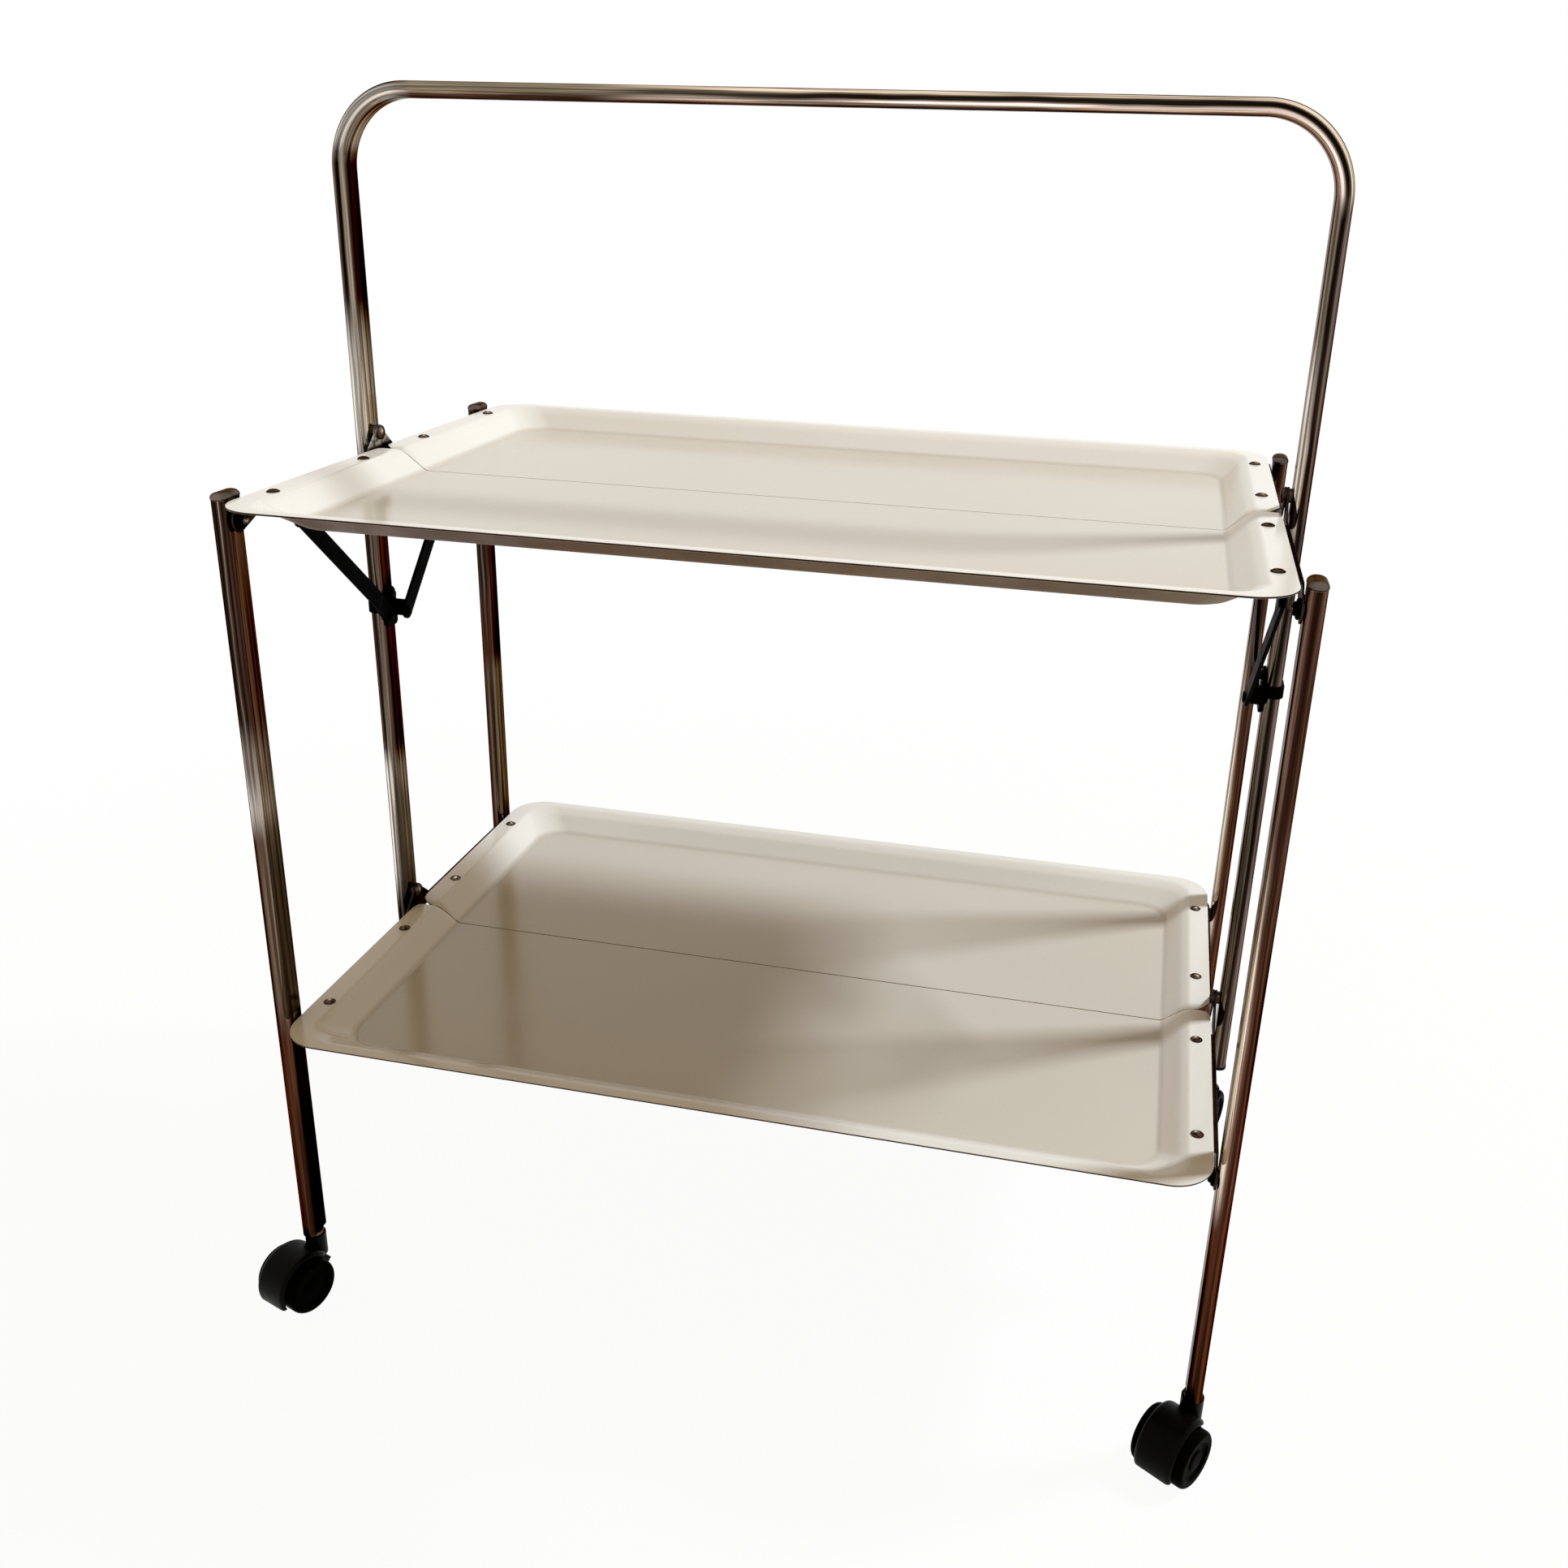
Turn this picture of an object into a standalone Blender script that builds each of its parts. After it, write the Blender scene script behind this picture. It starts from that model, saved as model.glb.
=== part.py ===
"""Folding serving trolley: two split trays between flat-oval tube legs, on four twin-wheel castors.

Each tray is split lengthwise. Its halves hinge on pins at the centre frame, just above the rim, and their
outer ends hang on pins in the legs. When the centre frame sinks, the halves swing up and the legs close in.
Struts run from the upper halves to a runner on each side tube of the centre frame.

The trolley maps onto itself when it is turned half a turn about the vertical, so the right end is the left
end turned round. +X is to the right, +Y to the rear, and the origin is on the floor under the middle.
"""

import math

import bmesh
import bpy
from mathutils import Vector

# Clearance between neighbouring pieces.
GAP = 0.0003
# How far a cutting solid runs past the face that it opens.
OVERRUN = 0.002
# Edges that turn by more than this stay sharp in the shading.
SHARP_EDGE_DEGREES = 32.0

# Trays.
UPPER_RIM_HEIGHT = 0.600
LOWER_RIM_HEIGHT = 0.2357
TRAY_HALF_LENGTH = 0.310
TRAY_HALF_WIDTH = 0.2127
SHEET = 0.0012
SEAM_HALF_GAP = 0.00025
END_FLANGE = 0.0150
SIDE_FLANGE = 0.0082
END_SLOPE = 0.0182
SIDE_SLOPE = 0.0245
PAN_DEPTH = 0.0150
OUTER_CORNER_RADIUS = 0.028
INNER_CORNER_RADIUS = 0.022
SEAM_CORNER_RADIUS = 0.012
# The slope from the flange to the pan floor: how much of its run and of its drop each fold line has reached.
SLOPE_SHARES = ((0.0, 0.0), (0.30, 0.22), (0.62, 0.58), (1.0, 1.0))
SEAM_STEPS = 3
CORNER_STEPS = 6

# Rivets that hold each tray half to its end brackets.
RIVET_FROM_SLOPE = 0.0050
RIVET_FROM_SEAM = 0.0447
RIVET_FROM_TRAY_SIDE = 0.0557
RIVET_SHANK_RADIUS = 0.0020
RIVET_HEAD_RADIUS = 0.0038
RIVET_CROWN_RADIUS = 0.0022
RIVET_HEAD_HEIGHT = 0.0014
RIVET_TAIL_RADIUS = 0.0032
RIVET_TAIL_HEIGHT = 0.0012
RIVET_SIDES = 10

# End brackets, angles of sheet steel under the tray flanges.
BRACKET_SHEET = 0.0013
BRACKET_LEG_FROM_SLOPE = 0.0012
BRACKET_LEG_FROM_SEAM = 0.032
BRACKET_LEG_FROM_PIN = 0.0090
BRACKET_DEPTH = 0.0085
EAR_ROOT_FROM_SEAM = 0.021
EAR_RADIUS = 0.0055
EAR_START_DEGREES = -40.0
EAR_END_DEGREES = 150.0
LUG_RADIUS = 0.0080
LUG_START_DEGREES = 75.0
LUG_END_DEGREES = 270.0
LUG_TAPER_FROM_PIN = 0.029
STRUT_TAB_RADIUS = 0.0060
STRUT_TAB_ROOT = 0.0110
ARC_STEPS = 5

# Pins of the fold. The trays hinge above their rims at the centre and below them at the legs.
HINGE_ABOVE_RIM = 0.010
LEG_PIN_BELOW_RIM = 0.0136
PIN_RADIUS = 0.0030
PIN_HEAD_RADIUS = 0.0050
PIN_CROWN_RADIUS = 0.0026
PIN_HEAD_HEIGHT = 0.0020
PIN_COLLAR_RADIUS = 0.0045
PIN_END_CLEARANCE = 0.0020
PIN_SIDES = 12

# Flat-oval tube of the legs and of the centre frame.
TUBE_THICKNESS = 0.0105
TUBE_DEPTH = 0.0220
TUBE_ARC_STEPS = 6

# Legs.
LEG_PIN_COLLAR_LENGTH = 0.00055
LEG_FROM_TRAY_SIDE = 0.0337
LEG_TOP_BELOW_RIM = 0.0006
LEG_SPARE_HOLE_ABOVE_LOWER_RIM = 0.0147
LEG_SPARE_HOLE_RADIUS = 0.0020
LEG_SPARE_HOLE_DEPTH = 0.0030
CAP_OVERHANG = 0.0008
CAP_SKIRT = 0.0014
CAP_CROWN = 0.0014
CAP_CROWN_INSET = 0.0018

# Centre frame, one tube bent into an upside-down U whose top is the handle.
FRAME_PIN_COLLAR_LENGTH = 0.00195
FRAME_FOOT_BELOW_LOWER_RIM = 0.0412
FRAME_TOP_ABOVE_RIM = 0.2340
FRAME_BEND_RADIUS = 0.0500
FRAME_BEND_STEPS = 7
PLUG_THICKNESS = 0.0025
PLUG_OVERHANG = 0.0004

# Struts and the runners that they push along the frame's side tubes.
STRUT_TOP_FROM_LEG_PIN = 0.065
STRUT_TOP_BELOW_RIM = 0.027
RUNNER_PIN_BELOW_RIM = 0.123
RUNNER_PIN_FROM_MIDDLE = 0.0075
STRUT_HALF_WIDTH = 0.0061
STRUT_THICKNESS = 0.0025
STRUT_END_STEPS = 6
STRUT_CLEARANCE = 0.0004
# The near strut steps out to the runner just above its foot. The far strut leans in over its whole length.
STRUT_STEP_START = 0.0100
STRUT_STEP_END = 0.0250
STRUT_LEAN_IN = 0.0041
STRUT_RIVET_RADIUS = 0.0022
STRUT_RIVET_HEAD_RADIUS = 0.0045
STRUT_RIVET_HEAD_HEIGHT = 0.0016
RUNNER_WALL = 0.0021
RUNNER_HALF_DEPTH = 0.0080
RUNNER_RISE = 0.0200
RUNNER_DROP = 0.0105
RUNNER_FOOT_CORNER = 0.0035
RUNNER_BAND_WALL = 0.0013
RUNNER_BAND_FOOT = 0.0016
RUNNER_BAND_HEIGHT = 0.0080
RUNNER_CLEARANCE = 0.0004
RUNNER_ARC_STEPS = 6
RUNNER_BOSS_RADIUS = 0.0062
RUNNER_BOSS_ABOVE_PIN = 0.0020
RUNNER_BOSS_SIDES = 20
RUNNER_PIN_RADIUS = 0.0025
RUNNER_PIN_HEAD_RADIUS = 0.0040
RUNNER_PIN_HEAD_HEIGHT = 0.0014
RUNNER_PIN_DEPTH = 0.0012

# Latch button near the top of each runner.
BUTTON_BELOW_RUNNER_TOP = 0.0062
BUTTON_RADIUS = 0.0031
BUTTON_CROWN_RADIUS = 0.0020
BUTTON_CROWN_HEIGHT = 0.0008
BUTTON_PROUD = 0.0035
BUTTON_SUNK = 0.0006

# Castors. Their own frame has the swivel axis at the origin, +X the way the wheels trail, Y the axle.
CASTOR_TRAIL = 0.0208
LEFT_CASTOR_DEGREES = 250.5
RIGHT_CASTOR_DEGREES = 238.7
WHEEL_RADIUS = 0.02035
WHEEL_SIDES = 20
WHEEL_TREAD_WIDTH = 0.0090
WHEEL_SHOULDER_WIDTH = 0.0027
WHEEL_SHOULDER_INSET = 0.0017
WHEEL_RIM_WIDTH = 0.0044
WHEEL_DISH_SLOPE = 0.0010
WHEEL_DISH_DEPTH = 0.0010
AXLE_RADIUS = 0.0030
AXLE_BEHIND_FACE = 0.0032
AXLE_SIDES = 10
HOOD_CLEARANCE = 0.0015
HOOD_WALL = 0.00275
HOOD_HALF_WIDTH = 0.0136
HOOD_START_DEGREES = -19.5
HOOD_END_DEGREES = 149.8
HOOD_STEPS = 12
WEB_INSIDE_NECK = 0.0005
WEB_INSET = 0.0006
WEB_FRONT_INSET = 0.0017
WEB_FRONT_ABOVE_AXLE = 0.0040
WEB_HEEL_FROM_STEM = 0.0080
WEB_HEEL_BELOW_AXLE = 0.0110
NECK_RADIUS = 0.0075
NECK_TOP_ABOVE_AXLE = 0.0277
NECK_LENGTH = 0.0180
STEM_RADIUS = 0.0040
STEM_IN_NECK = 0.0145
STEM_IN_LEG = 0.0175
COLLAR_RADIUS = 0.0065
COLLAR_LENGTH = 0.0030
COLLAR_EDGE = 0.0008
TURNED_SIDES = 12

TUBE_END_RADIUS = TUBE_THICKNESS / 2
# The two bracket plates at each end stand side by side, so that their ears can share the hinge pin.
INNER_PLATE_X = TRAY_HALF_LENGTH + GAP
OUTER_PLATE_X = INNER_PLATE_X + BRACKET_SHEET + GAP
LEG_INNER_FACE = OUTER_PLATE_X + BRACKET_SHEET + LEG_PIN_COLLAR_LENGTH
LEG_X = LEG_INNER_FACE + TUBE_END_RADIUS
LEG_Y = TRAY_HALF_WIDTH - LEG_FROM_TRAY_SIDE
FRAME_INNER_FACE = OUTER_PLATE_X + BRACKET_SHEET + FRAME_PIN_COLLAR_LENGTH
FRAME_X = FRAME_INNER_FACE + TUBE_END_RADIUS
FRAME_FOOT_HEIGHT = LOWER_RIM_HEIGHT - FRAME_FOOT_BELOW_LOWER_RIM
SLOPE_START_X = TRAY_HALF_LENGTH - END_FLANGE
RIVET_X = SLOPE_START_X + RIVET_FROM_SLOPE
RIVET_FAR_Y = TRAY_HALF_WIDTH - RIVET_FROM_TRAY_SIDE
HOOD_RADIUS = WHEEL_RADIUS + HOOD_CLEARANCE + HOOD_WALL
WEB_HALF_WIDTH = NECK_RADIUS - WEB_INSIDE_NECK
WHEEL_INNER_FACE = NECK_RADIUS + GAP
WHEEL_TREAD_EDGE = WHEEL_INNER_FACE + WHEEL_TREAD_WIDTH
WHEEL_OUTER_FACE = WHEEL_TREAD_EDGE + WHEEL_SHOULDER_WIDTH
WHEEL_AXIS_HEIGHT = WHEEL_RADIUS * math.cos(math.pi / WHEEL_SIDES)
AXLE_HALF_LENGTH = WHEEL_OUTER_FACE - AXLE_BEHIND_FACE
NECK_TOP_HEIGHT = WHEEL_AXIS_HEIGHT + NECK_TOP_ABOVE_AXLE
STEM_FOOT_HEIGHT = NECK_TOP_HEIGHT - STEM_IN_NECK
COLLAR_FOOT_HEIGHT = NECK_TOP_HEIGHT + GAP
COLLAR_TOP_HEIGHT = COLLAR_FOOT_HEIGHT + COLLAR_LENGTH
LEG_FOOT_HEIGHT = COLLAR_TOP_HEIGHT + GAP
STEM_TOP_HEIGHT = LEG_FOOT_HEIGHT + STEM_IN_LEG
RUNNER_PIN_HEIGHT = UPPER_RIM_HEIGHT - RUNNER_PIN_BELOW_RIM
BUTTON_ABOVE_PIN = RUNNER_RISE - BUTTON_BELOW_RUNNER_TOP
STRUT_TOP_Y = LEG_Y - STRUT_TOP_FROM_LEG_PIN
STRUT_RUN = STRUT_TOP_Y - RUNNER_PIN_FROM_MIDDLE
STRUT_RISE = RUNNER_PIN_BELOW_RIM - STRUT_TOP_BELOW_RIM
STRUT_LENGTH = math.hypot(STRUT_RUN, STRUT_RISE)
STRUT_ANGLE = math.atan2(STRUT_RUN, STRUT_RISE)
# Both struts of an end lie against the inner side of the plates at their tops, and part at their feet.
STRUT_TOP_X = INNER_PLATE_X - STRUT_CLEARANCE - STRUT_THICKNESS / 2
RUNNER_INNER_X = FRAME_INNER_FACE - RUNNER_CLEARANCE - RUNNER_WALL
NEAR_FOOT_X = RUNNER_INNER_X - GAP - STRUT_THICKNESS / 2
FAR_FOOT_X = STRUT_TOP_X - STRUT_LEAN_IN
FAR_FOOT_LEAN = STRUT_LEAN_IN * STRUT_HALF_WIDTH / STRUT_LENGTH
RUNNER_BOSS_X = FAR_FOOT_X + STRUT_THICKNESS / 2 + FAR_FOOT_LEAN + GAP

FINISHES = {
    "enamel": ((0.80, 0.77, 0.70), 0.22, 0.0),
    "chrome": ((0.62, 0.58, 0.54), 0.16, 1.0),
    "steel": ((0.42, 0.39, 0.36), 0.35, 1.0),
    "black_steel": ((0.015, 0.014, 0.014), 0.45, 0.3),
    "black_plastic": ((0.012, 0.012, 0.013), 0.40, 0.0),
}


def clear_scene():
    """Start from an empty scene."""
    for item in list(bpy.data.objects):
        bpy.data.objects.remove(item, do_unlink=True)


def make_material(node_name, finish):
    """A Principled material of the node's own."""
    colour, roughness, metallic = FINISHES[finish]
    material = bpy.data.materials.new(node_name + "_finish")
    material.use_nodes = True
    shader = material.node_tree.nodes["Principled BSDF"]
    shader.inputs["Base Color"].default_value = (*colour, 1.0)
    shader.inputs["Roughness"].default_value = roughness
    shader.inputs["Metallic"].default_value = metallic
    material.diffuse_color = (*colour, 1.0)
    return material


def make_mesh(name, solid):
    """Turn a solid into a mesh with smooth round faces and sharp edges."""
    bmesh.ops.recalc_face_normals(solid, faces=solid.faces)
    mesh = bpy.data.meshes.new(name)
    solid.to_mesh(mesh)
    solid.free()
    mesh.shade_smooth()
    mesh.set_sharp_from_angle(angle=math.radians(SHARP_EDGE_DEGREES))
    return mesh


def place(name, mesh, finish, parent, location=(0, 0, 0), turn=(0, 0, 0)):
    """Place a mesh as a named sub-part, at a location and turn in its parent's frame."""
    if mesh.users:
        mesh = mesh.copy()
    item = bpy.data.objects.new(name, mesh)
    item.data.materials.clear()
    item.data.materials.append(make_material(name, finish))
    bpy.context.scene.collection.objects.link(item)
    item.parent = parent
    item.location = location
    item.rotation_euler = turn
    return item


def make_axis(name, location, turn=(0, 0, 0)):
    """An empty on a joint's axis, which carries the sub-parts that move together."""
    axis = bpy.data.objects.new(name, None)
    bpy.context.scene.collection.objects.link(axis)
    axis.location = location
    axis.rotation_euler = turn
    return axis


def arc(centre, radius, start, end, steps):
    """Points of an arc, with angles in degrees, anticlockwise from the first axis of its plane."""
    points = []
    for step in range(steps + 1):
        angle = math.radians(start + (end - start) * step / steps)
        points.append((centre[0] + radius * math.cos(angle), centre[1] + radius * math.sin(angle)))
    return points


def stadium(thickness, depth, steps):
    """Outline of a flat-oval section, thickness along X and depth along Y."""
    radius = thickness / 2
    offset = depth / 2 - radius
    return arc((0, offset), radius, 0, 180, steps) + arc((0, -offset), radius, 180, 360, steps)


def loft(rings):
    """Join rings of equal point count into a closed solid."""
    solid = bmesh.new()
    loops = []
    for ring in rings:
        loops.append([solid.verts.new(point) for point in ring])
    for lower, upper in zip(loops, loops[1:]):
        for index in range(len(lower)):
            following = (index + 1) % len(lower)
            solid.faces.new((lower[index], lower[following], upper[following], upper[index]))
    solid.faces.new(list(reversed(loops[0])))
    solid.faces.new(loops[-1])
    return solid


def prism(outline, start, end, axis="Z"):
    """Extrude a plane outline. Along X the outline is in Y and Z, and along Y it is in X and Z."""
    rings = []
    for level in (start, end):
        if axis == "X":
            rings.append([(level, first, second) for first, second in outline])
        elif axis == "Y":
            rings.append([(first, level, second) for first, second in outline])
        else:
            rings.append([(first, second, level) for first, second in outline])
    return loft(rings)


def turned(profile, sides, axis="Z"):
    """Turn a profile of radius and height pairs about an axis, with a flat side at the bottom."""
    rings = []
    for radius, height in profile:
        ring = []
        for side in range(sides):
            angle = 2 * math.pi * (side + 0.5) / sides
            across = radius * math.sin(angle)
            along = -radius * math.cos(angle)
            if axis == "X":
                ring.append((height, across, along))
            elif axis == "Y":
                ring.append((across, height, along))
            else:
                ring.append((across, along, height))
        rings.append(ring)
    return loft(rings)


def box(low, high):
    """A box between two corners."""
    outline = [(low[0], low[1]), (high[0], low[1]), (high[0], high[1]), (low[0], high[1])]
    return prism(outline, low[2], high[2])


def moved(solid, location):
    """The same solid, shifted."""
    bmesh.ops.translate(solid, verts=solid.verts, vec=Vector(location))
    return solid


def gathered(solids):
    """Several separate solids as one."""
    group = bmesh.new()
    for solid in solids:
        mesh = bpy.data.meshes.new("gathered")
        bmesh.ops.recalc_face_normals(solid, faces=solid.faces)
        solid.to_mesh(mesh)
        solid.free()
        group.from_mesh(mesh)
        bpy.data.meshes.remove(mesh)
    return group


def combined(base, tool, operation):
    """The base solid with the tool solid cut from it (DIFFERENCE) or joined to it (UNION)."""
    items = []
    for solid in (base, tool):
        mesh = make_mesh("blank", solid)
        item = bpy.data.objects.new("blank", mesh)
        bpy.context.scene.collection.objects.link(item)
        items.append(item)
    modifier = items[0].modifiers.new("solid", "BOOLEAN")
    modifier.operation = operation
    modifier.solver = "EXACT"
    modifier.object = items[1]
    evaluated = items[0].evaluated_get(bpy.context.evaluated_depsgraph_get())
    result = bmesh.new()
    result.from_mesh(evaluated.to_mesh())
    evaluated.to_mesh_clear()
    for item in items:
        mesh = item.data
        bpy.data.objects.remove(item, do_unlink=True)
        bpy.data.meshes.remove(mesh)
    return result


def cut(base, tools):
    """Cut several separate tools from a solid."""
    return combined(base, gathered(tools), "DIFFERENCE")


def drill(radius, start, end, sides, axis, centre):
    """A drill for a round hole along an axis, between two places on it."""
    return moved(turned(((radius, start), (radius, end)), sides, axis), centre)


def slope_loops():
    """Half length, half width, corner radius, seam corner radius and drop of each fold line of the pan."""
    loops = [(TRAY_HALF_LENGTH, TRAY_HALF_WIDTH, OUTER_CORNER_RADIUS, SEAM_CORNER_RADIUS, 0.0)]
    for run_share, drop_share in SLOPE_SHARES:
        half_length = TRAY_HALF_LENGTH - END_FLANGE - run_share * END_SLOPE
        half_width = TRAY_HALF_WIDTH - SIDE_FLANGE - run_share * SIDE_SLOPE
        loops.append((half_length, half_width, INNER_CORNER_RADIUS, 0.0, -drop_share * PAN_DEPTH))
    return loops


def pan_line(half_length, half_width, corner_radius, seam_radius):
    """Plan of one fold line of the front half, from its left end at the seam round to its right end."""
    left = []
    for step in range(SEAM_STEPS + 1):
        angle = math.pi / 2 * step / SEAM_STEPS
        x = -half_length + seam_radius * (1 - math.sin(angle))
        y = -SEAM_HALF_GAP - SEAM_CORNER_RADIUS * (1 - math.cos(angle))
        left.append((x, y))
    for step in range(CORNER_STEPS + 1):
        angle = math.pi / 2 * step / CORNER_STEPS
        x = -half_length + corner_radius * (1 - math.cos(angle))
        y = -half_width + corner_radius * (1 - math.sin(angle))
        left.append((x, y))
    right = [(-x, y) for x, y in reversed(left)]
    return left + right


def pan_skin(solid, drop):
    """One face of the pressed sheet as rows of points, set down by the given drop."""
    rows = []
    for half_length, half_width, corner_radius, seam_radius, level in slope_loops():
        line = pan_line(half_length, half_width, corner_radius, seam_radius)
        rows.append([solid.verts.new((x, y, level - drop)) for x, y in line])
    for outer, inner in zip(rows, rows[1:]):
        for index in range(len(outer) - 1):
            solid.faces.new((outer[index], outer[index + 1], inner[index + 1], inner[index]))
    solid.faces.new(rows[-1])
    return rows


def front_half_tray():
    """Front half of a tray, pressed from sheet, with its rim's top at height zero."""
    solid = bmesh.new()
    top = pan_skin(solid, 0)
    bottom = pan_skin(solid, SHEET)
    for index in range(len(top[0]) - 1):
        solid.faces.new((top[0][index], top[0][index + 1], bottom[0][index + 1], bottom[0][index]))
    seam = []
    seam += [row[0] for row in top]
    seam += [row[-1] for row in reversed(top)]
    seam += [row[-1] for row in bottom]
    seam += [row[0] for row in reversed(bottom)]
    solid.faces.new(seam)
    bmesh.ops.recalc_face_normals(solid, faces=solid.faces)
    drills = []
    for x in (-RIVET_X, RIVET_X):
        for y in (-RIVET_FROM_SEAM, -RIVET_FAR_Y):
            drills.append(drill(RIVET_SHANK_RADIUS + GAP, -OVERRUN, OVERRUN, RIVET_SIDES, "Z", (x, y, 0)))
    return cut(solid, drills)


def tray_rivet():
    """One rivet, from its domed head above the flange to its tail on the bracket's underside."""
    head_foot = GAP
    tail_top = -SHEET - GAP - BRACKET_SHEET / 2
    tail_foot = -SHEET - GAP - BRACKET_SHEET - RIVET_TAIL_HEIGHT
    profile = (
        (RIVET_CROWN_RADIUS, head_foot + RIVET_HEAD_HEIGHT),
        (RIVET_HEAD_RADIUS, head_foot),
        (RIVET_SHANK_RADIUS, head_foot),
        (RIVET_SHANK_RADIUS, tail_top),
        (RIVET_TAIL_RADIUS, tail_top),
        (RIVET_CROWN_RADIUS, tail_foot),
    )
    return turned(profile, RIVET_SIDES)


def bracket_outline(has_strut_tab):
    """Side view of a front bracket's plate, in Y and Z from the tray's rim: ear, strip, lug and strut tab."""
    strip_top = -SHEET - GAP
    strip_foot = strip_top - BRACKET_DEPTH
    hinge = (0, HINGE_ABOVE_RIM)
    lug = (-LEG_Y, -LEG_PIN_BELOW_RIM)
    outline = arc(hinge, EAR_RADIUS, EAR_START_DEGREES, EAR_END_DEGREES, ARC_STEPS)
    outline.append((-EAR_ROOT_FROM_SEAM, strip_top))
    outline.append((-LEG_Y + BRACKET_LEG_FROM_PIN, strip_top))
    outline += arc(lug, LUG_RADIUS, LUG_START_DEGREES, LUG_END_DEGREES, ARC_STEPS)
    outline.append((-LEG_Y + LUG_TAPER_FROM_PIN, strip_foot))
    if has_strut_tab:
        tab = (-STRUT_TOP_Y, -STRUT_TOP_BELOW_RIM)
        outline.append((-STRUT_TOP_Y - STRUT_TAB_ROOT, strip_foot))
        outline += arc(tab, STRUT_TAB_RADIUS, 180, 360, ARC_STEPS)
        outline.append((-STRUT_TOP_Y + STRUT_TAB_ROOT, strip_foot))
    outline.append((-EAR_RADIUS, strip_foot))
    return outline


def left_front_bracket(plate_x, has_strut_tab):
    """Bracket of a front half at the left end, joined to its rivets. Its plate starts at plate_x."""
    leg_top = -SHEET - GAP
    plate = prism(bracket_outline(has_strut_tab), -plate_x - BRACKET_SHEET, -plate_x, "X")
    leg_far_y = LEG_Y - BRACKET_LEG_FROM_PIN
    leg_inner_x = SLOPE_START_X + BRACKET_LEG_FROM_SLOPE
    low = (-plate_x - BRACKET_SHEET / 2, -leg_far_y, leg_top - BRACKET_SHEET)
    high = (-leg_inner_x, -BRACKET_LEG_FROM_SEAM, leg_top)
    bracket = combined(plate, box(low, high), "UNION")
    rivets = [moved(tray_rivet(), (-RIVET_X, -y, 0)) for y in (RIVET_FROM_SEAM, RIVET_FAR_Y)]
    bracket = combined(bracket, gathered(rivets), "UNION")
    near = -plate_x + OVERRUN
    far = -plate_x - BRACKET_SHEET - OVERRUN
    drills = [
        drill(PIN_RADIUS + GAP, far, near, PIN_SIDES, "X", (0, 0, HINGE_ABOVE_RIM)),
        drill(PIN_RADIUS + GAP, far, near, PIN_SIDES, "X", (0, -LEG_Y, -LEG_PIN_BELOW_RIM)),
    ]
    return cut(bracket, drills)


def mirrored_front_to_rear(solid):
    """The same solid, mirrored from the front to the rear."""
    bmesh.ops.scale(solid, vec=(1, -1, 1), verts=solid.verts)
    bmesh.ops.reverse_faces(solid, faces=solid.faces)
    return solid


def hinge_pin(plate_inner_x, plate_outer_x, tube_face_x, tip_x):
    """Left-end pin along X, from its head inside the plates to its tip in the tube."""
    head_foot = -plate_inner_x + GAP
    collar_start = -plate_outer_x - GAP
    collar_end = -tube_face_x + GAP
    profile = [
        (PIN_CROWN_RADIUS, head_foot + PIN_HEAD_HEIGHT),
        (PIN_HEAD_RADIUS, head_foot + PIN_HEAD_HEIGHT / 2),
        (PIN_HEAD_RADIUS, head_foot),
        (PIN_RADIUS, head_foot),
    ]
    if collar_start - collar_end > GAP:
        profile += [
            (PIN_RADIUS, collar_start),
            (PIN_COLLAR_RADIUS, collar_start),
            (PIN_COLLAR_RADIUS, collar_end),
            (PIN_RADIUS, collar_end),
        ]
    profile.append((PIN_RADIUS, -tip_x))
    return turned(profile, PIN_SIDES, "X")


def tube_tip(centre_x):
    """How far out a pin reaches in a tube."""
    return centre_x + TUBE_END_RADIUS - PIN_END_CLEARANCE


def centre_pin():
    """Left hinge pin of a tray, through both ears and into the centre frame."""
    return hinge_pin(INNER_PLATE_X, OUTER_PLATE_X + BRACKET_SHEET, FRAME_INNER_FACE, tube_tip(FRAME_X))


def left_leg(plate_x):
    """A leg at the left end, joined to its two pins, which pass through the bracket plates at plate_x.

    Its upper pin's centre is at height zero and its centreline is on the Z axis.
    """
    pin_height = UPPER_RIM_HEIGHT - LEG_PIN_BELOW_RIM
    foot = LEG_FOOT_HEIGHT - pin_height
    top = LEG_PIN_BELOW_RIM - LEG_TOP_BELOW_RIM
    leg = prism(stadium(TUBE_THICKNESS, TUBE_DEPTH, TUBE_ARC_STEPS), foot, top)
    lower = LOWER_RIM_HEIGHT - UPPER_RIM_HEIGHT
    pins = []
    for height in (0, lower):
        pin = hinge_pin(plate_x, plate_x + BRACKET_SHEET, LEG_INNER_FACE, tube_tip(LEG_X))
        pins.append(moved(pin, (LEG_X, 0, height)))
    leg = combined(leg, gathered(pins), "UNION")
    hole_end = TUBE_END_RADIUS + OVERRUN
    spare_height = lower + LEG_PIN_BELOW_RIM + LEG_SPARE_HOLE_ABOVE_LOWER_RIM
    spare_start = TUBE_END_RADIUS - LEG_SPARE_HOLE_DEPTH
    stem_top = STEM_TOP_HEIGHT + GAP - pin_height
    drills = [
        drill(LEG_SPARE_HOLE_RADIUS, spare_start, hole_end, RIVET_SIDES, "X", (0, 0, spare_height)),
        drill(STEM_RADIUS + GAP, foot - OVERRUN, stem_top, TURNED_SIDES, "Z", (0, 0, 0)),
    ]
    return cut(leg, drills)


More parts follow.
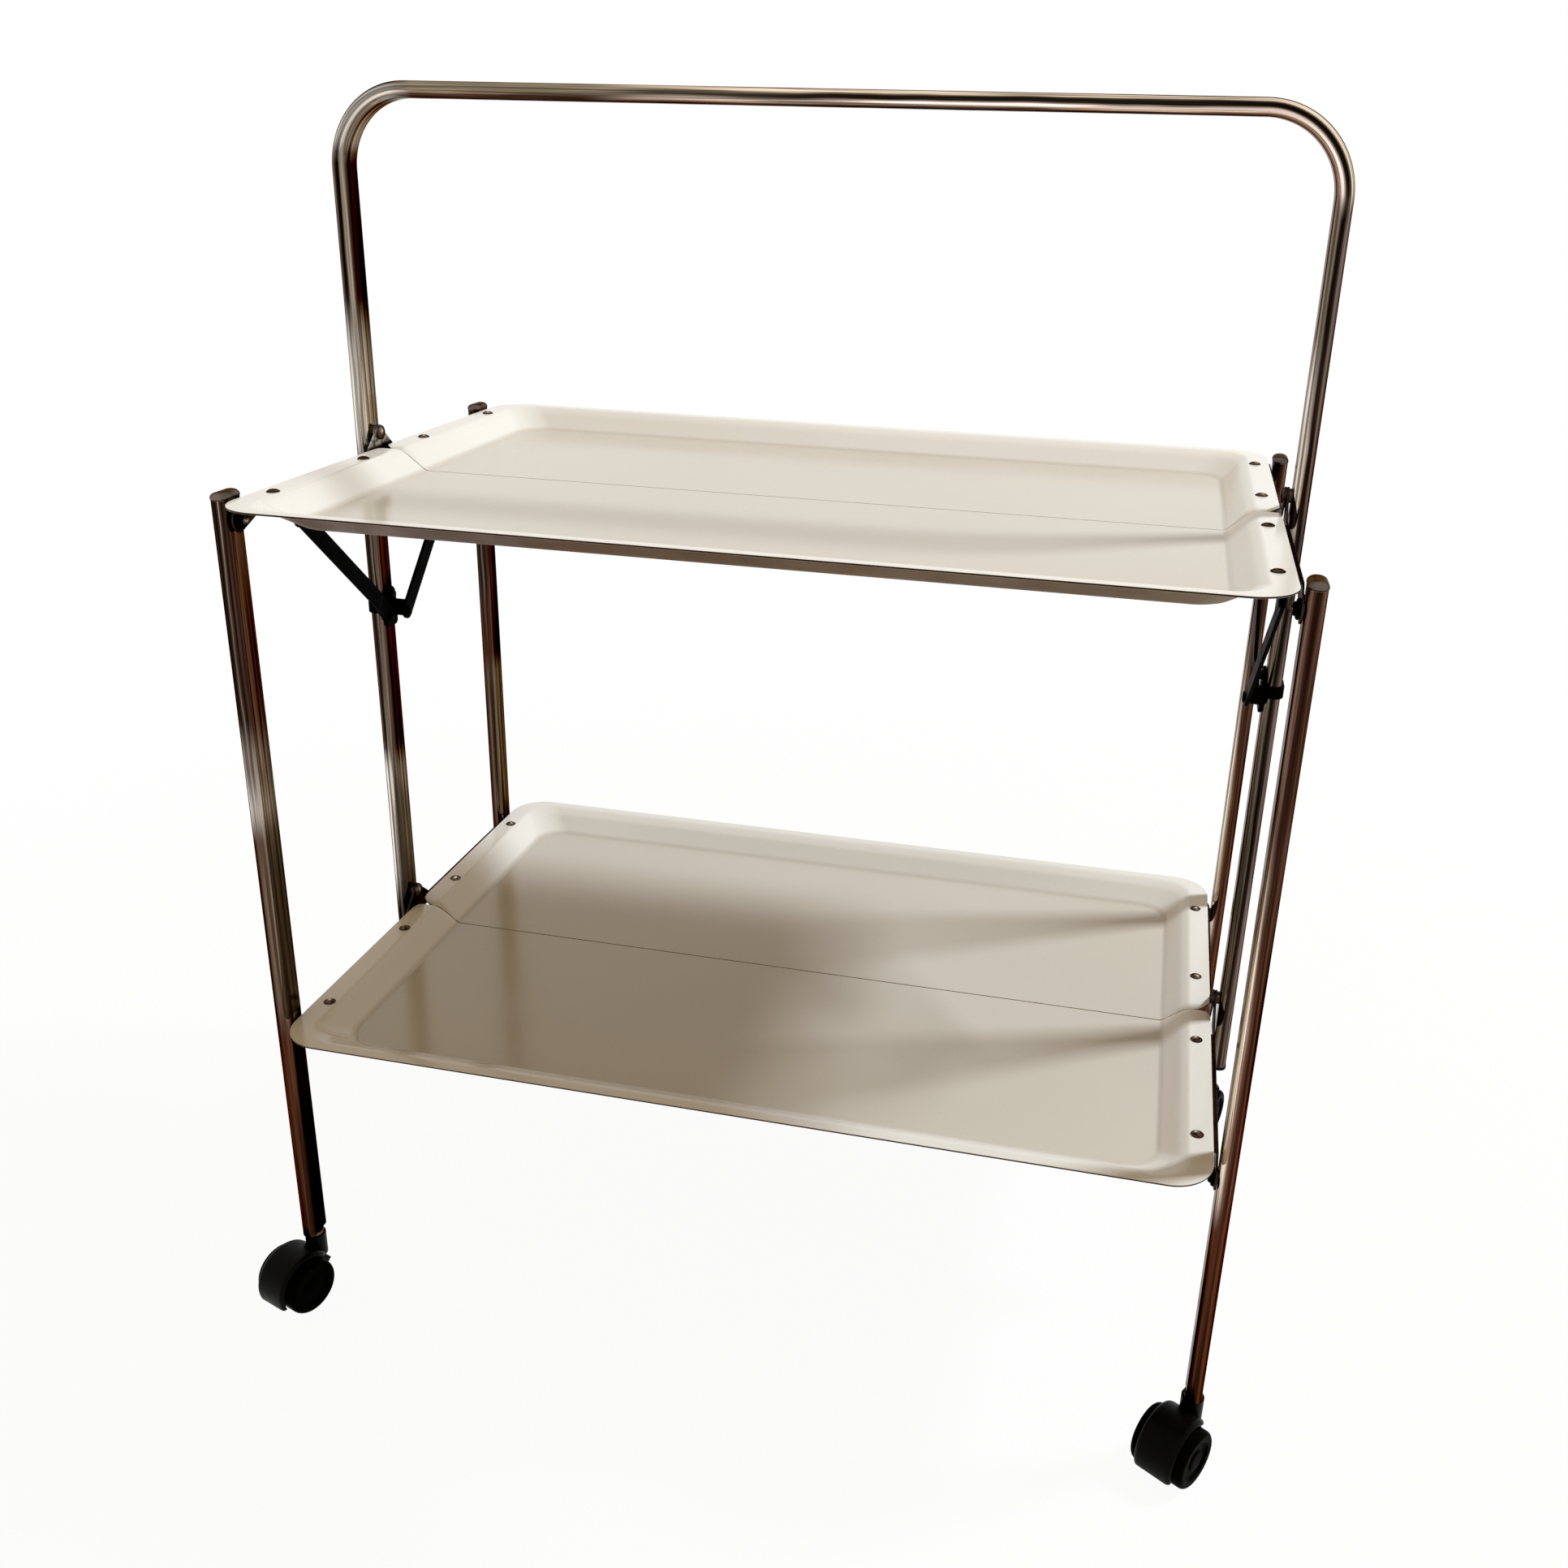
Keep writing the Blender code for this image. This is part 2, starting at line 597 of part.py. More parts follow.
def leg_cap():
    """Domed cap on a leg, from its foot at height zero."""
    wide = stadium(TUBE_THICKNESS + CAP_OVERHANG * 2, TUBE_DEPTH + CAP_OVERHANG * 2, TUBE_ARC_STEPS)
    crown_thickness = TUBE_THICKNESS - CAP_CROWN_INSET * 2
    crown = stadium(crown_thickness, TUBE_DEPTH - CAP_CROWN_INSET * 2, TUBE_ARC_STEPS)
    rings = [
        [(x, y, 0) for x, y in wide],
        [(x, y, CAP_SKIRT) for x, y in wide],
        [(x, y, CAP_SKIRT + CAP_CROWN) for x, y in crown],
    ]
    return loft(rings)


def frame_path():
    """Centreline of the centre frame in X and Z, with the angle of its outward side at each point."""
    top = UPPER_RIM_HEIGHT + FRAME_TOP_ABOVE_RIM
    bend_height = top - FRAME_BEND_RADIUS
    bend_x = FRAME_X - FRAME_BEND_RADIUS
    path = [((-FRAME_X, FRAME_FOOT_HEIGHT), 180.0)]
    for side, start, end in ((-1, 180.0, 90.0), (1, 90.0, 0.0)):
        for step in range(FRAME_BEND_STEPS + 1):
            degrees = start + (end - start) * step / FRAME_BEND_STEPS
            angle = math.radians(degrees)
            x = side * bend_x + FRAME_BEND_RADIUS * math.cos(angle)
            z = bend_height + FRAME_BEND_RADIUS * math.sin(angle)
            path.append(((x, z), degrees))
    path.append(((FRAME_X, FRAME_FOOT_HEIGHT), 0.0))
    return path


def centre_frame():
    """The U-shaped centre frame, with blind holes for the hinge pins."""
    section = stadium(TUBE_THICKNESS, TUBE_DEPTH, TUBE_ARC_STEPS)
    rings = []
    for (x, z), degrees in frame_path():
        angle = math.radians(degrees)
        centre = Vector((x, 0, z))
        outward = Vector((math.cos(angle), 0, math.sin(angle)))
        rings.append([centre + outward * across + Vector((0, deep, 0)) for across, deep in section])
    frame = loft(rings)
    drills = []
    for rim in (UPPER_RIM_HEIGHT, LOWER_RIM_HEIGHT):
        centre = (0, 0, rim + HINGE_ABOVE_RIM)
        tip = tube_tip(FRAME_X) + GAP
        for side in (-1, 1):
            start = side * (FRAME_INNER_FACE - OVERRUN)
            drills.append(drill(PIN_RADIUS + GAP, start, side * tip, PIN_SIDES, "X", centre))
    return cut(frame, drills)


def frame_plug():
    """End plug under a foot of the centre frame."""
    outline = stadium(TUBE_THICKNESS + PLUG_OVERHANG * 2, TUBE_DEPTH + PLUG_OVERHANG * 2, TUBE_ARC_STEPS)
    return prism(outline, -GAP - PLUG_THICKNESS, -GAP)


def strut_rivet():
    """Left-end rivet at a strut's upper eye, in the strut's frame. It stops short of the bracket's tab."""
    inner_face = -STRUT_TOP_X + STRUT_THICKNESS / 2
    profile = (
        (STRUT_RIVET_RADIUS, inner_face + STRUT_RIVET_HEAD_HEIGHT),
        (STRUT_RIVET_HEAD_RADIUS, inner_face + STRUT_RIVET_HEAD_HEIGHT / 2),
        (STRUT_RIVET_HEAD_RADIUS, -STRUT_TOP_X),
        (STRUT_RIVET_RADIUS, -STRUT_TOP_X),
        (STRUT_RIVET_RADIUS, -INNER_PLATE_X + GAP),
    )
    return moved(turned(profile, TURNED_SIDES, "X"), (0, 0, STRUT_LENGTH))


def flat_strut():
    """Left-end strut bar, flat, along Z from its foot pin at the origin."""
    outline = arc((0, 0), STRUT_HALF_WIDTH, 180, 360, STRUT_END_STEPS)
    outline += arc((0, STRUT_LENGTH), STRUT_HALF_WIDTH, 0, 180, STRUT_END_STEPS)
    half = STRUT_THICKNESS / 2
    bar = prism(outline, -half, half, "X")
    reach = half + OVERRUN
    return cut(bar, [drill(RUNNER_PIN_RADIUS + GAP, -reach, reach, TURNED_SIDES, "X", (0, 0, 0))])


def near_strut():
    """Left-end strut whose foot lies on the runner. It steps out to it between two bends."""
    bar = flat_strut()
    for level in (STRUT_STEP_START, STRUT_STEP_END):
        parts = bar.verts[:] + bar.edges[:] + bar.faces[:]
        bmesh.ops.bisect_plane(bar, geom=parts, plane_co=(0, 0, level), plane_no=(0, 0, 1))
    for vert in bar.verts:
        share = (vert.co.z - STRUT_STEP_START) / (STRUT_STEP_END - STRUT_STEP_START)
        vert.co.x -= NEAR_FOOT_X + (STRUT_TOP_X - NEAR_FOOT_X) * min(max(share, 0), 1)
    return combined(bar, strut_rivet(), "UNION")


def far_strut():
    """Left-end strut whose foot stands off the runner. It leans in over its whole length."""
    bar = flat_strut()
    for vert in bar.verts:
        vert.co.x -= FAR_FOOT_X + STRUT_LEAN_IN * vert.co.z / STRUT_LENGTH
    return combined(bar, strut_rivet(), "UNION")


def runner_face():
    """Outline in Y and Z of the runner's face, arched at the top, with small corners at the foot."""
    arch_height = RUNNER_RISE - RUNNER_HALF_DEPTH
    corner_y = RUNNER_HALF_DEPTH - RUNNER_FOOT_CORNER
    corner_z = RUNNER_FOOT_CORNER - RUNNER_DROP
    outline = arc((0, arch_height), RUNNER_HALF_DEPTH, 0, 180, RUNNER_ARC_STEPS * 2)
    outline += arc((-corner_y, corner_z), RUNNER_FOOT_CORNER, 180, 270, RUNNER_ARC_STEPS)
    outline += arc((corner_y, corner_z), RUNNER_FOOT_CORNER, 270, 360, RUNNER_ARC_STEPS)
    return outline


def left_runner():
    """Left runner, a face plate held by a band round the tube, with the height of its pins at zero.

    The near strut's foot lies on the plate, in front of the middle. A boss behind the middle carries the far
    strut's foot.
    """
    grown = RUNNER_CLEARANCE * 2
    band_grown = grown + RUNNER_BAND_WALL * 2
    plate = prism(runner_face(), -FRAME_X, -RUNNER_INNER_X, "X")
    band_outline = stadium(TUBE_THICKNESS + band_grown, TUBE_DEPTH + band_grown, TUBE_ARC_STEPS)
    band = prism(band_outline, RUNNER_BAND_FOOT, RUNNER_BAND_FOOT + RUNNER_BAND_HEIGHT)
    block = combined(plate, moved(band, (-FRAME_X, 0, 0)), "UNION")
    boss_profile = (
        (RUNNER_BOSS_RADIUS, -RUNNER_INNER_X - RUNNER_PIN_DEPTH),
        (RUNNER_BOSS_RADIUS, -RUNNER_BOSS_X),
    )
    boss_place = (0, RUNNER_PIN_FROM_MIDDLE, RUNNER_BOSS_ABOVE_PIN)
    boss = moved(turned(boss_profile, RUNNER_BOSS_SIDES, "X"), boss_place)
    block = combined(block, boss, "UNION")
    bore_outline = stadium(TUBE_THICKNESS + grown, TUBE_DEPTH + grown, TUBE_ARC_STEPS)
    bore = moved(prism(bore_outline, -RUNNER_DROP - OVERRUN, RUNNER_RISE + OVERRUN), (-FRAME_X, 0, 0))
    near_end = -RUNNER_INNER_X - RUNNER_PIN_DEPTH - GAP
    far_end = -RUNNER_BOSS_X - RUNNER_PIN_DEPTH - GAP
    pocket_end = -RUNNER_INNER_X - RUNNER_WALL - GAP
    hole = RUNNER_PIN_RADIUS + GAP
    opened = -RUNNER_BOSS_X + OVERRUN
    near_place = (0, -RUNNER_PIN_FROM_MIDDLE, 0)
    far_place = (0, RUNNER_PIN_FROM_MIDDLE, 0)
    tools = [
        bore,
        drill(hole, near_end, opened, TURNED_SIDES, "X", near_place),
        drill(hole, far_end, opened, TURNED_SIDES, "X", far_place),
    ]
    block = cut(block, tools)
    pocket = drill(BUTTON_RADIUS + GAP, pocket_end, opened, TURNED_SIDES, "X", (0, 0, BUTTON_ABOVE_PIN))
    return cut(block, [pocket])


def left_runner_pin(foot_x, lean, runner_x):
    """Left pin through a strut's foot into the face of the runner or of its boss."""
    head_foot = -foot_x + STRUT_THICKNESS / 2 + lean + GAP
    profile = (
        (RUNNER_PIN_RADIUS, head_foot + RUNNER_PIN_HEAD_HEIGHT),
        (RUNNER_PIN_HEAD_RADIUS, head_foot + RUNNER_PIN_HEAD_HEIGHT / 2),
        (RUNNER_PIN_HEAD_RADIUS, head_foot),
        (RUNNER_PIN_RADIUS, head_foot),
        (RUNNER_PIN_RADIUS, -runner_x - RUNNER_PIN_DEPTH),
    )
    return turned(profile, TURNED_SIDES, "X")


def left_button():
    """Left latch button, with its centre on the runner's inner face."""
    profile = (
        (BUTTON_CROWN_RADIUS, BUTTON_PROUD),
        (BUTTON_RADIUS, BUTTON_PROUD - BUTTON_CROWN_HEIGHT),
        (BUTTON_RADIUS, -BUTTON_SUNK),
    )
    return turned(profile, TURNED_SIDES, "X")


def castor_stem():
    """Steel stem of a castor, from inside the hood's neck into the leg, with its collar under the leg."""
    profile = (
        (STEM_RADIUS, STEM_FOOT_HEIGHT),
        (STEM_RADIUS, COLLAR_FOOT_HEIGHT),
        (COLLAR_RADIUS, COLLAR_FOOT_HEIGHT),
        (COLLAR_RADIUS, COLLAR_TOP_HEIGHT - COLLAR_EDGE),
        (COLLAR_RADIUS - COLLAR_EDGE, COLLAR_TOP_HEIGHT),
        (STEM_RADIUS, COLLAR_TOP_HEIGHT),
        (STEM_RADIUS, STEM_TOP_HEIGHT),
    )
    return turned(profile, TURNED_SIDES)


def castor_hood():
    """Plastic hood: a neck on the stem, a web between the wheels and a fender over them."""
    centre = (CASTOR_TRAIL, WHEEL_AXIS_HEIGHT)
    fender = arc(centre, HOOD_RADIUS, HOOD_START_DEGREES, HOOD_END_DEGREES, HOOD_STEPS)
    fender += arc(centre, HOOD_RADIUS - HOOD_WALL, HOOD_END_DEGREES, HOOD_START_DEGREES, HOOD_STEPS)
    web = arc(centre, HOOD_RADIUS - WEB_INSET, HOOD_START_DEGREES, HOOD_END_DEGREES, HOOD_STEPS)
    heel_height = WHEEL_AXIS_HEIGHT - WEB_HEEL_BELOW_AXLE
    web.append((WEB_FRONT_INSET - NECK_RADIUS, WHEEL_AXIS_HEIGHT + WEB_FRONT_ABOVE_AXLE))
    web.append((WEB_HEEL_FROM_STEM, heel_height))
    web.append((CASTOR_TRAIL * 2, heel_height))
    hood = combined(
        prism(fender, -HOOD_HALF_WIDTH, HOOD_HALF_WIDTH, "Y"),
        prism(web, -WEB_HALF_WIDTH, WEB_HALF_WIDTH, "Y"),
        "UNION",
    )
    neck_profile = ((NECK_RADIUS, NECK_TOP_HEIGHT - NECK_LENGTH), (NECK_RADIUS, NECK_TOP_HEIGHT))
    neck = turned(neck_profile, TURNED_SIDES)
    hood = combined(hood, neck, "UNION")
    bore_foot = STEM_FOOT_HEIGHT - GAP
    drills = [
        drill(STEM_RADIUS + GAP, bore_foot, NECK_TOP_HEIGHT + OVERRUN, TURNED_SIDES, "Z", (0, 0, 0)),
        drill(
            AXLE_RADIUS + GAP,
            -WEB_HALF_WIDTH - OVERRUN,
            WEB_HALF_WIDTH + OVERRUN,
            AXLE_SIDES,
            "Y",
            (CASTOR_TRAIL, 0, WHEEL_AXIS_HEIGHT),
        ),
    ]
    return cut(hood, drills)


def castor_axle():
    """Steel axle along Y."""
    return turned(((AXLE_RADIUS, -AXLE_HALF_LENGTH), (AXLE_RADIUS, AXLE_HALF_LENGTH)), AXLE_SIDES, "Y")


def castor_wheel():
    """Plastic wheel on the +Y side of the hood's web, bored blind from its inner face."""
    bore_radius = AXLE_RADIUS + GAP
    rim_outer = WHEEL_RADIUS - WHEEL_SHOULDER_INSET
    rim_inner = rim_outer - WHEEL_RIM_WIDTH
    profile = (
        (bore_radius, AXLE_HALF_LENGTH + GAP),
        (bore_radius, WHEEL_INNER_FACE),
        (WHEEL_RADIUS, WHEEL_INNER_FACE),
        (WHEEL_RADIUS, WHEEL_TREAD_EDGE),
        (rim_outer, WHEEL_OUTER_FACE),
        (rim_inner, WHEEL_OUTER_FACE),
        (rim_inner - WHEEL_DISH_SLOPE, WHEEL_OUTER_FACE - WHEEL_DISH_DEPTH),
    )
    return turned(profile, WHEEL_SIDES, "Y")


def build_frame():
    """Centre frame, its plugs and the hinge pins that it carries."""
    place("handle_frame", make_mesh("centre_frame", centre_frame()), "chrome", None)
    plug = make_mesh("frame_plug", frame_plug())
    pin = make_mesh("centre_pin", centre_pin())
    for end, sign, turn in (("left", -1, 0.0), ("right", 1, math.pi)):
        place(f"frame_plug_{end}", plug, "black_plastic", None, (sign * FRAME_X, 0, FRAME_FOOT_HEIGHT))
        for level, rim in (("upper", UPPER_RIM_HEIGHT), ("lower", LOWER_RIM_HEIGHT)):
            height = rim + HINGE_ABOVE_RIM
            place(f"hinge_pin_{level}_{end}", pin, "chrome", None, (0, 0, height), (0, 0, turn))


def build_tray(level, rim, has_strut_tab):
    """Both halves of a tray, each with its two brackets, on empties at the hinge pins."""
    half = make_mesh("half_tray", front_half_tray())
    inner = make_mesh("inner_bracket", left_front_bracket(INNER_PLATE_X, has_strut_tab))
    outer_solid = mirrored_front_to_rear(left_front_bracket(OUTER_PLATE_X, has_strut_tab))
    outer = make_mesh("outer_bracket", outer_solid)
    under_pin = (0, 0, -HINGE_ABOVE_RIM)
    halves = (("front", "left", "right", 0.0), ("rear", "right", "left", math.pi))
    for side, near_end, far_end, turn in halves:
        axis = make_axis(f"{level}_{side}_hinge", (0, 0, rim + HINGE_ABOVE_RIM))
        place(f"tray_{level}_{side}", half, "enamel", axis, under_pin, (0, 0, turn))
        place(f"bracket_{level}_{side}_{near_end}", inner, "steel", axis, under_pin, (0, 0, turn))
        place(f"bracket_{level}_{side}_{far_end}", outer, "steel", axis, under_pin, (0, 0, turn + math.pi))


def build_legs():
    """Four legs with their caps and castors, on empties at the upper leg pins."""
    inner = make_mesh("inner_plate_leg", left_leg(INNER_PLATE_X))
    outer = make_mesh("outer_plate_leg", left_leg(OUTER_PLATE_X))
    cap = make_mesh("leg_cap", leg_cap())
    stem = make_mesh("castor_stem", castor_stem())
    castor = {
        "hood": make_mesh("castor_hood", castor_hood()),
        "axle": make_mesh("castor_axle", castor_axle()),
        "wheel": make_mesh("castor_wheel", castor_wheel()),
    }
    pin_height = UPPER_RIM_HEIGHT - LEG_PIN_BELOW_RIM
    cap_height = LEG_PIN_BELOW_RIM - LEG_TOP_BELOW_RIM + GAP
    for side, y, trail_turn in (("front", -LEG_Y, 0.0), ("rear", LEG_Y, math.pi)):
        axis = make_axis(f"{side}_leg_pivot", (0, y, pin_height))
        for end, x, turn in (("left", -LEG_X, 0.0), ("right", LEG_X, math.pi)):
            as_front_left = turn == trail_turn
            leg = inner if as_front_left else outer
            place(f"leg_{side}_{end}", leg, "chrome", axis, (x, 0, 0), (0, 0, turn))
            place(f"leg_cap_{side}_{end}", cap, "chrome", axis, (x, 0, cap_height))
            place(f"castor_stem_{side}_{end}", stem, "steel", axis, (x, 0, -pin_height))
            degrees = LEFT_CASTOR_DEGREES if as_front_left else RIGHT_CASTOR_DEGREES
            build_castor(f"{side}_{end}", castor, (x, y, 0), math.radians(degrees) + trail_turn)


def build_castor(corner, castor, location, trail):
    """A castor's hood, axle and two wheels, on an empty at its swivel axis."""
    swivel = make_axis(f"castor_swivel_{corner}", location, (0, 0, trail))
    place(f"castor_hood_{corner}", castor["hood"], "black_plastic", swivel)
    hub = (CASTOR_TRAIL, 0, WHEEL_AXIS_HEIGHT)
    place(f"castor_axle_{corner}", castor["axle"], "steel", swivel, hub)
    place(f"castor_wheel_{corner}_a", castor["wheel"], "black_plastic", swivel, hub)
    place(f"castor_wheel_{corner}_b", castor["wheel"], "black_plastic", swivel, hub, (0, 0, math.pi))


def build_struts():
    """Runners with their pins and buttons, and the four struts, on empties at the runner pins."""
    runner_axis = make_axis("runner_slide", (0, 0, RUNNER_PIN_HEIGHT))
    runner = make_mesh("runner", left_runner())
    button = make_mesh("latch_button", left_button())
    for end, sign, turn in (("left", -1, 0.0), ("right", 1, math.pi)):
        place(f"runner_{end}", runner, "black_plastic", runner_axis, (0, 0, 0), (0, 0, turn))
        spot = (sign * RUNNER_INNER_X, 0, BUTTON_ABOVE_PIN)
        place(f"latch_button_{end}", button, "black_plastic", runner_axis, spot, (0, 0, turn))
    near = make_mesh("near_strut", near_strut())
    far = make_mesh("far_strut", far_strut())
    near_pin = make_mesh("near_pin", left_runner_pin(NEAR_FOOT_X, 0, RUNNER_INNER_X))
    far_pin = make_mesh("far_pin", left_runner_pin(FAR_FOOT_X, FAR_FOOT_LEAN, RUNNER_BOSS_X))
    sides = (("front", -1, (near, near_pin), (far, far_pin)), ("rear", 1, (far, far_pin), (near, near_pin)))
    for side, sign, left, right in sides:
        y = sign * RUNNER_PIN_FROM_MIDDLE
        axis = make_axis(f"{side}_strut_pivot", (0, y, RUNNER_PIN_HEIGHT), (-sign * STRUT_ANGLE, 0, 0))
        for end, (bar, pin), turn in (("left", left, 0.0), ("right", right, math.pi)):
            place(f"strut_{side}_{end}", bar, "black_steel", axis, (0, 0, 0), (0, 0, turn))
            place(f"runner_pin_{side}_{end}", pin, "black_steel", runner_axis, (0, y, 0), (0, 0, turn))


def main():
    """Build the whole trolley."""
    clear_scene()
    build_frame()
    build_tray("upper", UPPER_RIM_HEIGHT, True)
    build_tray("lower", LOWER_RIM_HEIGHT, False)
    build_legs()
    build_struts()


main()
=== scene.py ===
import math

import bmesh
import bpy
from mathutils import Matrix, Vector


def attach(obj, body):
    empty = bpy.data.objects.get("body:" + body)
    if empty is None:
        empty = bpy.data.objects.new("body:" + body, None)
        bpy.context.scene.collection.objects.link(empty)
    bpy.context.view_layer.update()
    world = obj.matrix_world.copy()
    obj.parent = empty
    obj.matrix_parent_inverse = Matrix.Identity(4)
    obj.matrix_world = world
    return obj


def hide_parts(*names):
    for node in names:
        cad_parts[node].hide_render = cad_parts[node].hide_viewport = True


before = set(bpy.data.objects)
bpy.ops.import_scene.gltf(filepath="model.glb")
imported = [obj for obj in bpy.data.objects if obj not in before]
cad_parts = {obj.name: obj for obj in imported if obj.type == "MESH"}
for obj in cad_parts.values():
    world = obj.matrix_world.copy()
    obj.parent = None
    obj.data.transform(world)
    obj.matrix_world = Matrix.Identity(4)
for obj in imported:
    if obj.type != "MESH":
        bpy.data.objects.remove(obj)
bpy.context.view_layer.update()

# Looks of the folding serving trolley. +X is to the right, +Y to the rear, and the origin is on the floor.
# The right end is the left end turned half round, so most pieces are made once, for the left end.

GAP = 0.0003
OVERRUN = 0.002
SHARP_EDGE_DEGREES = 38.0
MELT_DISTANCE = 1e-6
HALF_TURN = Matrix.Rotation(math.pi, 4, "Z")
HERE = Matrix.Identity(4)

# Camera fitted to the photograph.
PHOTO_SIDE = 1932
CAMERA_PLACE = (0.2293, -0.9818, 0.8055)
CAMERA_AZIMUTH = 12.35
CAMERA_ELEVATION = 21.93
CAMERA_ROLL = 1.56
FOCAL_PIXELS = 1852.4
PRINCIPAL_X = 1007.2
PRINCIPAL_Y = 928.2
SENSOR = 36.0

# Trays.
RIMS = {"upper": 0.600, "lower": 0.2357}
TRAY_HALF_LENGTH = 0.310
TRAY_HALF_WIDTH = 0.2127
SHEET = 0.0012
SEAM_HALF_GAP = 0.00040
END_FLANGE = 0.0150
SIDE_FLANGE = 0.0082
END_SLOPE = 0.0182
SIDE_SLOPE = 0.0245
PAN_DEPTH = 0.0150
OUTER_CORNER_RADIUS = 0.028
INNER_CORNER_RADIUS = 0.022
SEAM_CORNER_RADIUS = 0.012
SLOPE_SHARES = ((0.0, 0.0), (0.30, 0.22), (0.62, 0.58), (1.0, 1.0))
# The fold lines are rounded by averaging the slope over this share of its run to each side.
FOLD_SHARE = 0.08
FOLD_STEPS = 18
FLANGE_STEPS = 3
TRAY_CORNER_STEPS = 14
# Distances from the seam at which the sheet has points, and how far its edge is rolled down on the flange.
SEAM_DISTANCES = (0.0, 0.0006, 0.0012, 0.0020, 0.0030, 0.0046, 0.0068, 0.0092, 0.0120)
SEAM_ROLL_WIDTH = 0.0056
SEAM_ROLL_DROP = 0.0024
TRAY_EDGE_ROUNDING = 0.00042

# Rivets and brackets.
RIVET_X = 0.300
RIVET_YS = (0.0447, 0.157)
RIVET_RADIUS = 0.0042
# Radius and depth below the bracket of a rivet's tail, and radius and height of the thin rim of its head.
RIVET_TAIL = ((0.0019, 0.0011), (0.0029, 0.0009), (0.0032, 0.0004), (0.0032, 0.0), (0.0020, 0.0))
RIVET_RIM = ((0.0020, 0.0002), (0.0040, 0.0001), (0.0042, 0.0003), (0.0040, 0.0005), (0.0036, 0.00055))
BRACKET_SHEET = 0.0013
BRACKET_LEG_X = 0.2962
BRACKET_LEG_YS = (0.032, 0.170)
BRACKET_DEPTH = 0.0085
EAR_RADIUS = 0.0055
LUG_RADIUS = 0.0080
STRUT_TAB_RADIUS = 0.0060
INNER_PLATE_X = 0.3103
OUTER_PLATE_X = 0.3119

# Pins.
HINGE_ABOVE_RIM = 0.010
LEG_PIN_BELOW_RIM = 0.0136
PIN_RADIUS = 0.0030
PIN_HEAD_RADIUS = 0.0050
PIN_COLLAR_RADIUS = 0.0045
LEG_NUT_RADIUS = 0.0060
LEG_NUT_HEIGHT = 0.0042
LEG_NUT_TIP_RADIUS = 0.0022

# Tubes.
TUBE_THICKNESS = 0.0105
TUBE_DEPTH = 0.0220
TUBE_END_RADIUS = TUBE_THICKNESS / 2
TUBE_HALF_ROUND = math.pi * TUBE_END_RADIUS
TUBE_STEPS = 16
LEG_X = 0.319
LEG_Y = 0.179
LEG_INNER_FACE = 0.31375
LEG_FOOT = 0.0514
LEG_TOP = 0.5994
SPARE_HOLE_HEIGHT = 0.2504
SPARE_HOLE_RADIUS = 0.0020
FRAME_X = 0.3204
FRAME_INNER_FACE = 0.31515
FRAME_FOOT = 0.1945
FRAME_TOP = 0.834
FRAME_BEND_RADIUS = 0.050
FRAME_BEND_STEPS = 28
# Height under the tube of each ring of a foot's plug, and how far it stands out past the tube.
PLUG_RINGS = ((-0.0028, -0.0010), (-0.0026, -0.0002), (-0.0022, 0.0004), (-0.0006, 0.0004), (-0.0003, 0.0002))
CAP_OVERHANG = 0.0003
CAP_SKIRT = 0.0010
CAP_CROWN = 0.0032
CAP_SHOULDER = 0.0045

# Struts and runners.
RUNNER_PIN_HEIGHT = 0.477
RUNNER_PIN_FROM_MIDDLE = 0.0075
STRUT_TOP_Y = 0.114
STRUT_RUN = STRUT_TOP_Y - RUNNER_PIN_FROM_MIDDLE
STRUT_TOP_BELOW_RIM = 0.027
STRUT_RISE = 0.096
STRUT_LENGTH = math.hypot(STRUT_RUN, STRUT_RISE)
STRUT_ANGLE = math.atan2(STRUT_RUN, STRUT_RISE)
STRUT_HALF_WIDTH = 0.0061
STRUT_THICKNESS = 0.0025
STRUT_TOP_X = 0.30865
NEAR_FOOT_X = 0.3111
FAR_FOOT_X = 0.30455
FAR_FOOT_LEAN = 0.00018
STRUT_STEP_START = 0.0100
STRUT_STEP_END = 0.0250
RUNNER_INNER_X = 0.31265
RUNNER_CLEARANCE = 0.0004
RUNNER_HALF_DEPTH = 0.0080
RUNNER_RISE = 0.0200
RUNNER_DROP = 0.0105
RUNNER_FOOT_CORNER = 0.0035
RUNNER_BAND_WALL = 0.0013
RUNNER_BAND = (0.0016, 0.0096)
RUNNER_BOSS_X = 0.30627
RUNNER_BOSS_RADIUS = 0.0062
RUNNER_BOSS_ABOVE_PIN = 0.0020
RUNNER_PIN_RADIUS = 0.0025
RUNNER_PIN_HEAD_RADIUS = 0.0040
RUNNER_PIN_HEAD_HEIGHT = 0.0014
RUNNER_PIN_DEPTH = 0.0012
BUTTON_ABOVE_PIN = 0.0138
BUTTON_RADIUS = 0.0031
BUTTON_PROUD = 0.0035
BUTTON_SUNK = 0.0006

# Castors. Their own frame has the swivel axis at the origin and +X the way the wheels trail.
CASTOR_TRAIL = 0.0208
CASTOR_DEGREES = {"front_left": 250.5, "front_right": 238.7, "rear_left": 58.7, "rear_right": 70.5}
WHEEL_AXIS_HEIGHT = 0.0200995
WHEEL_RADIUS = 0.02009
WHEEL_FACES = (0.0078, 0.0195)
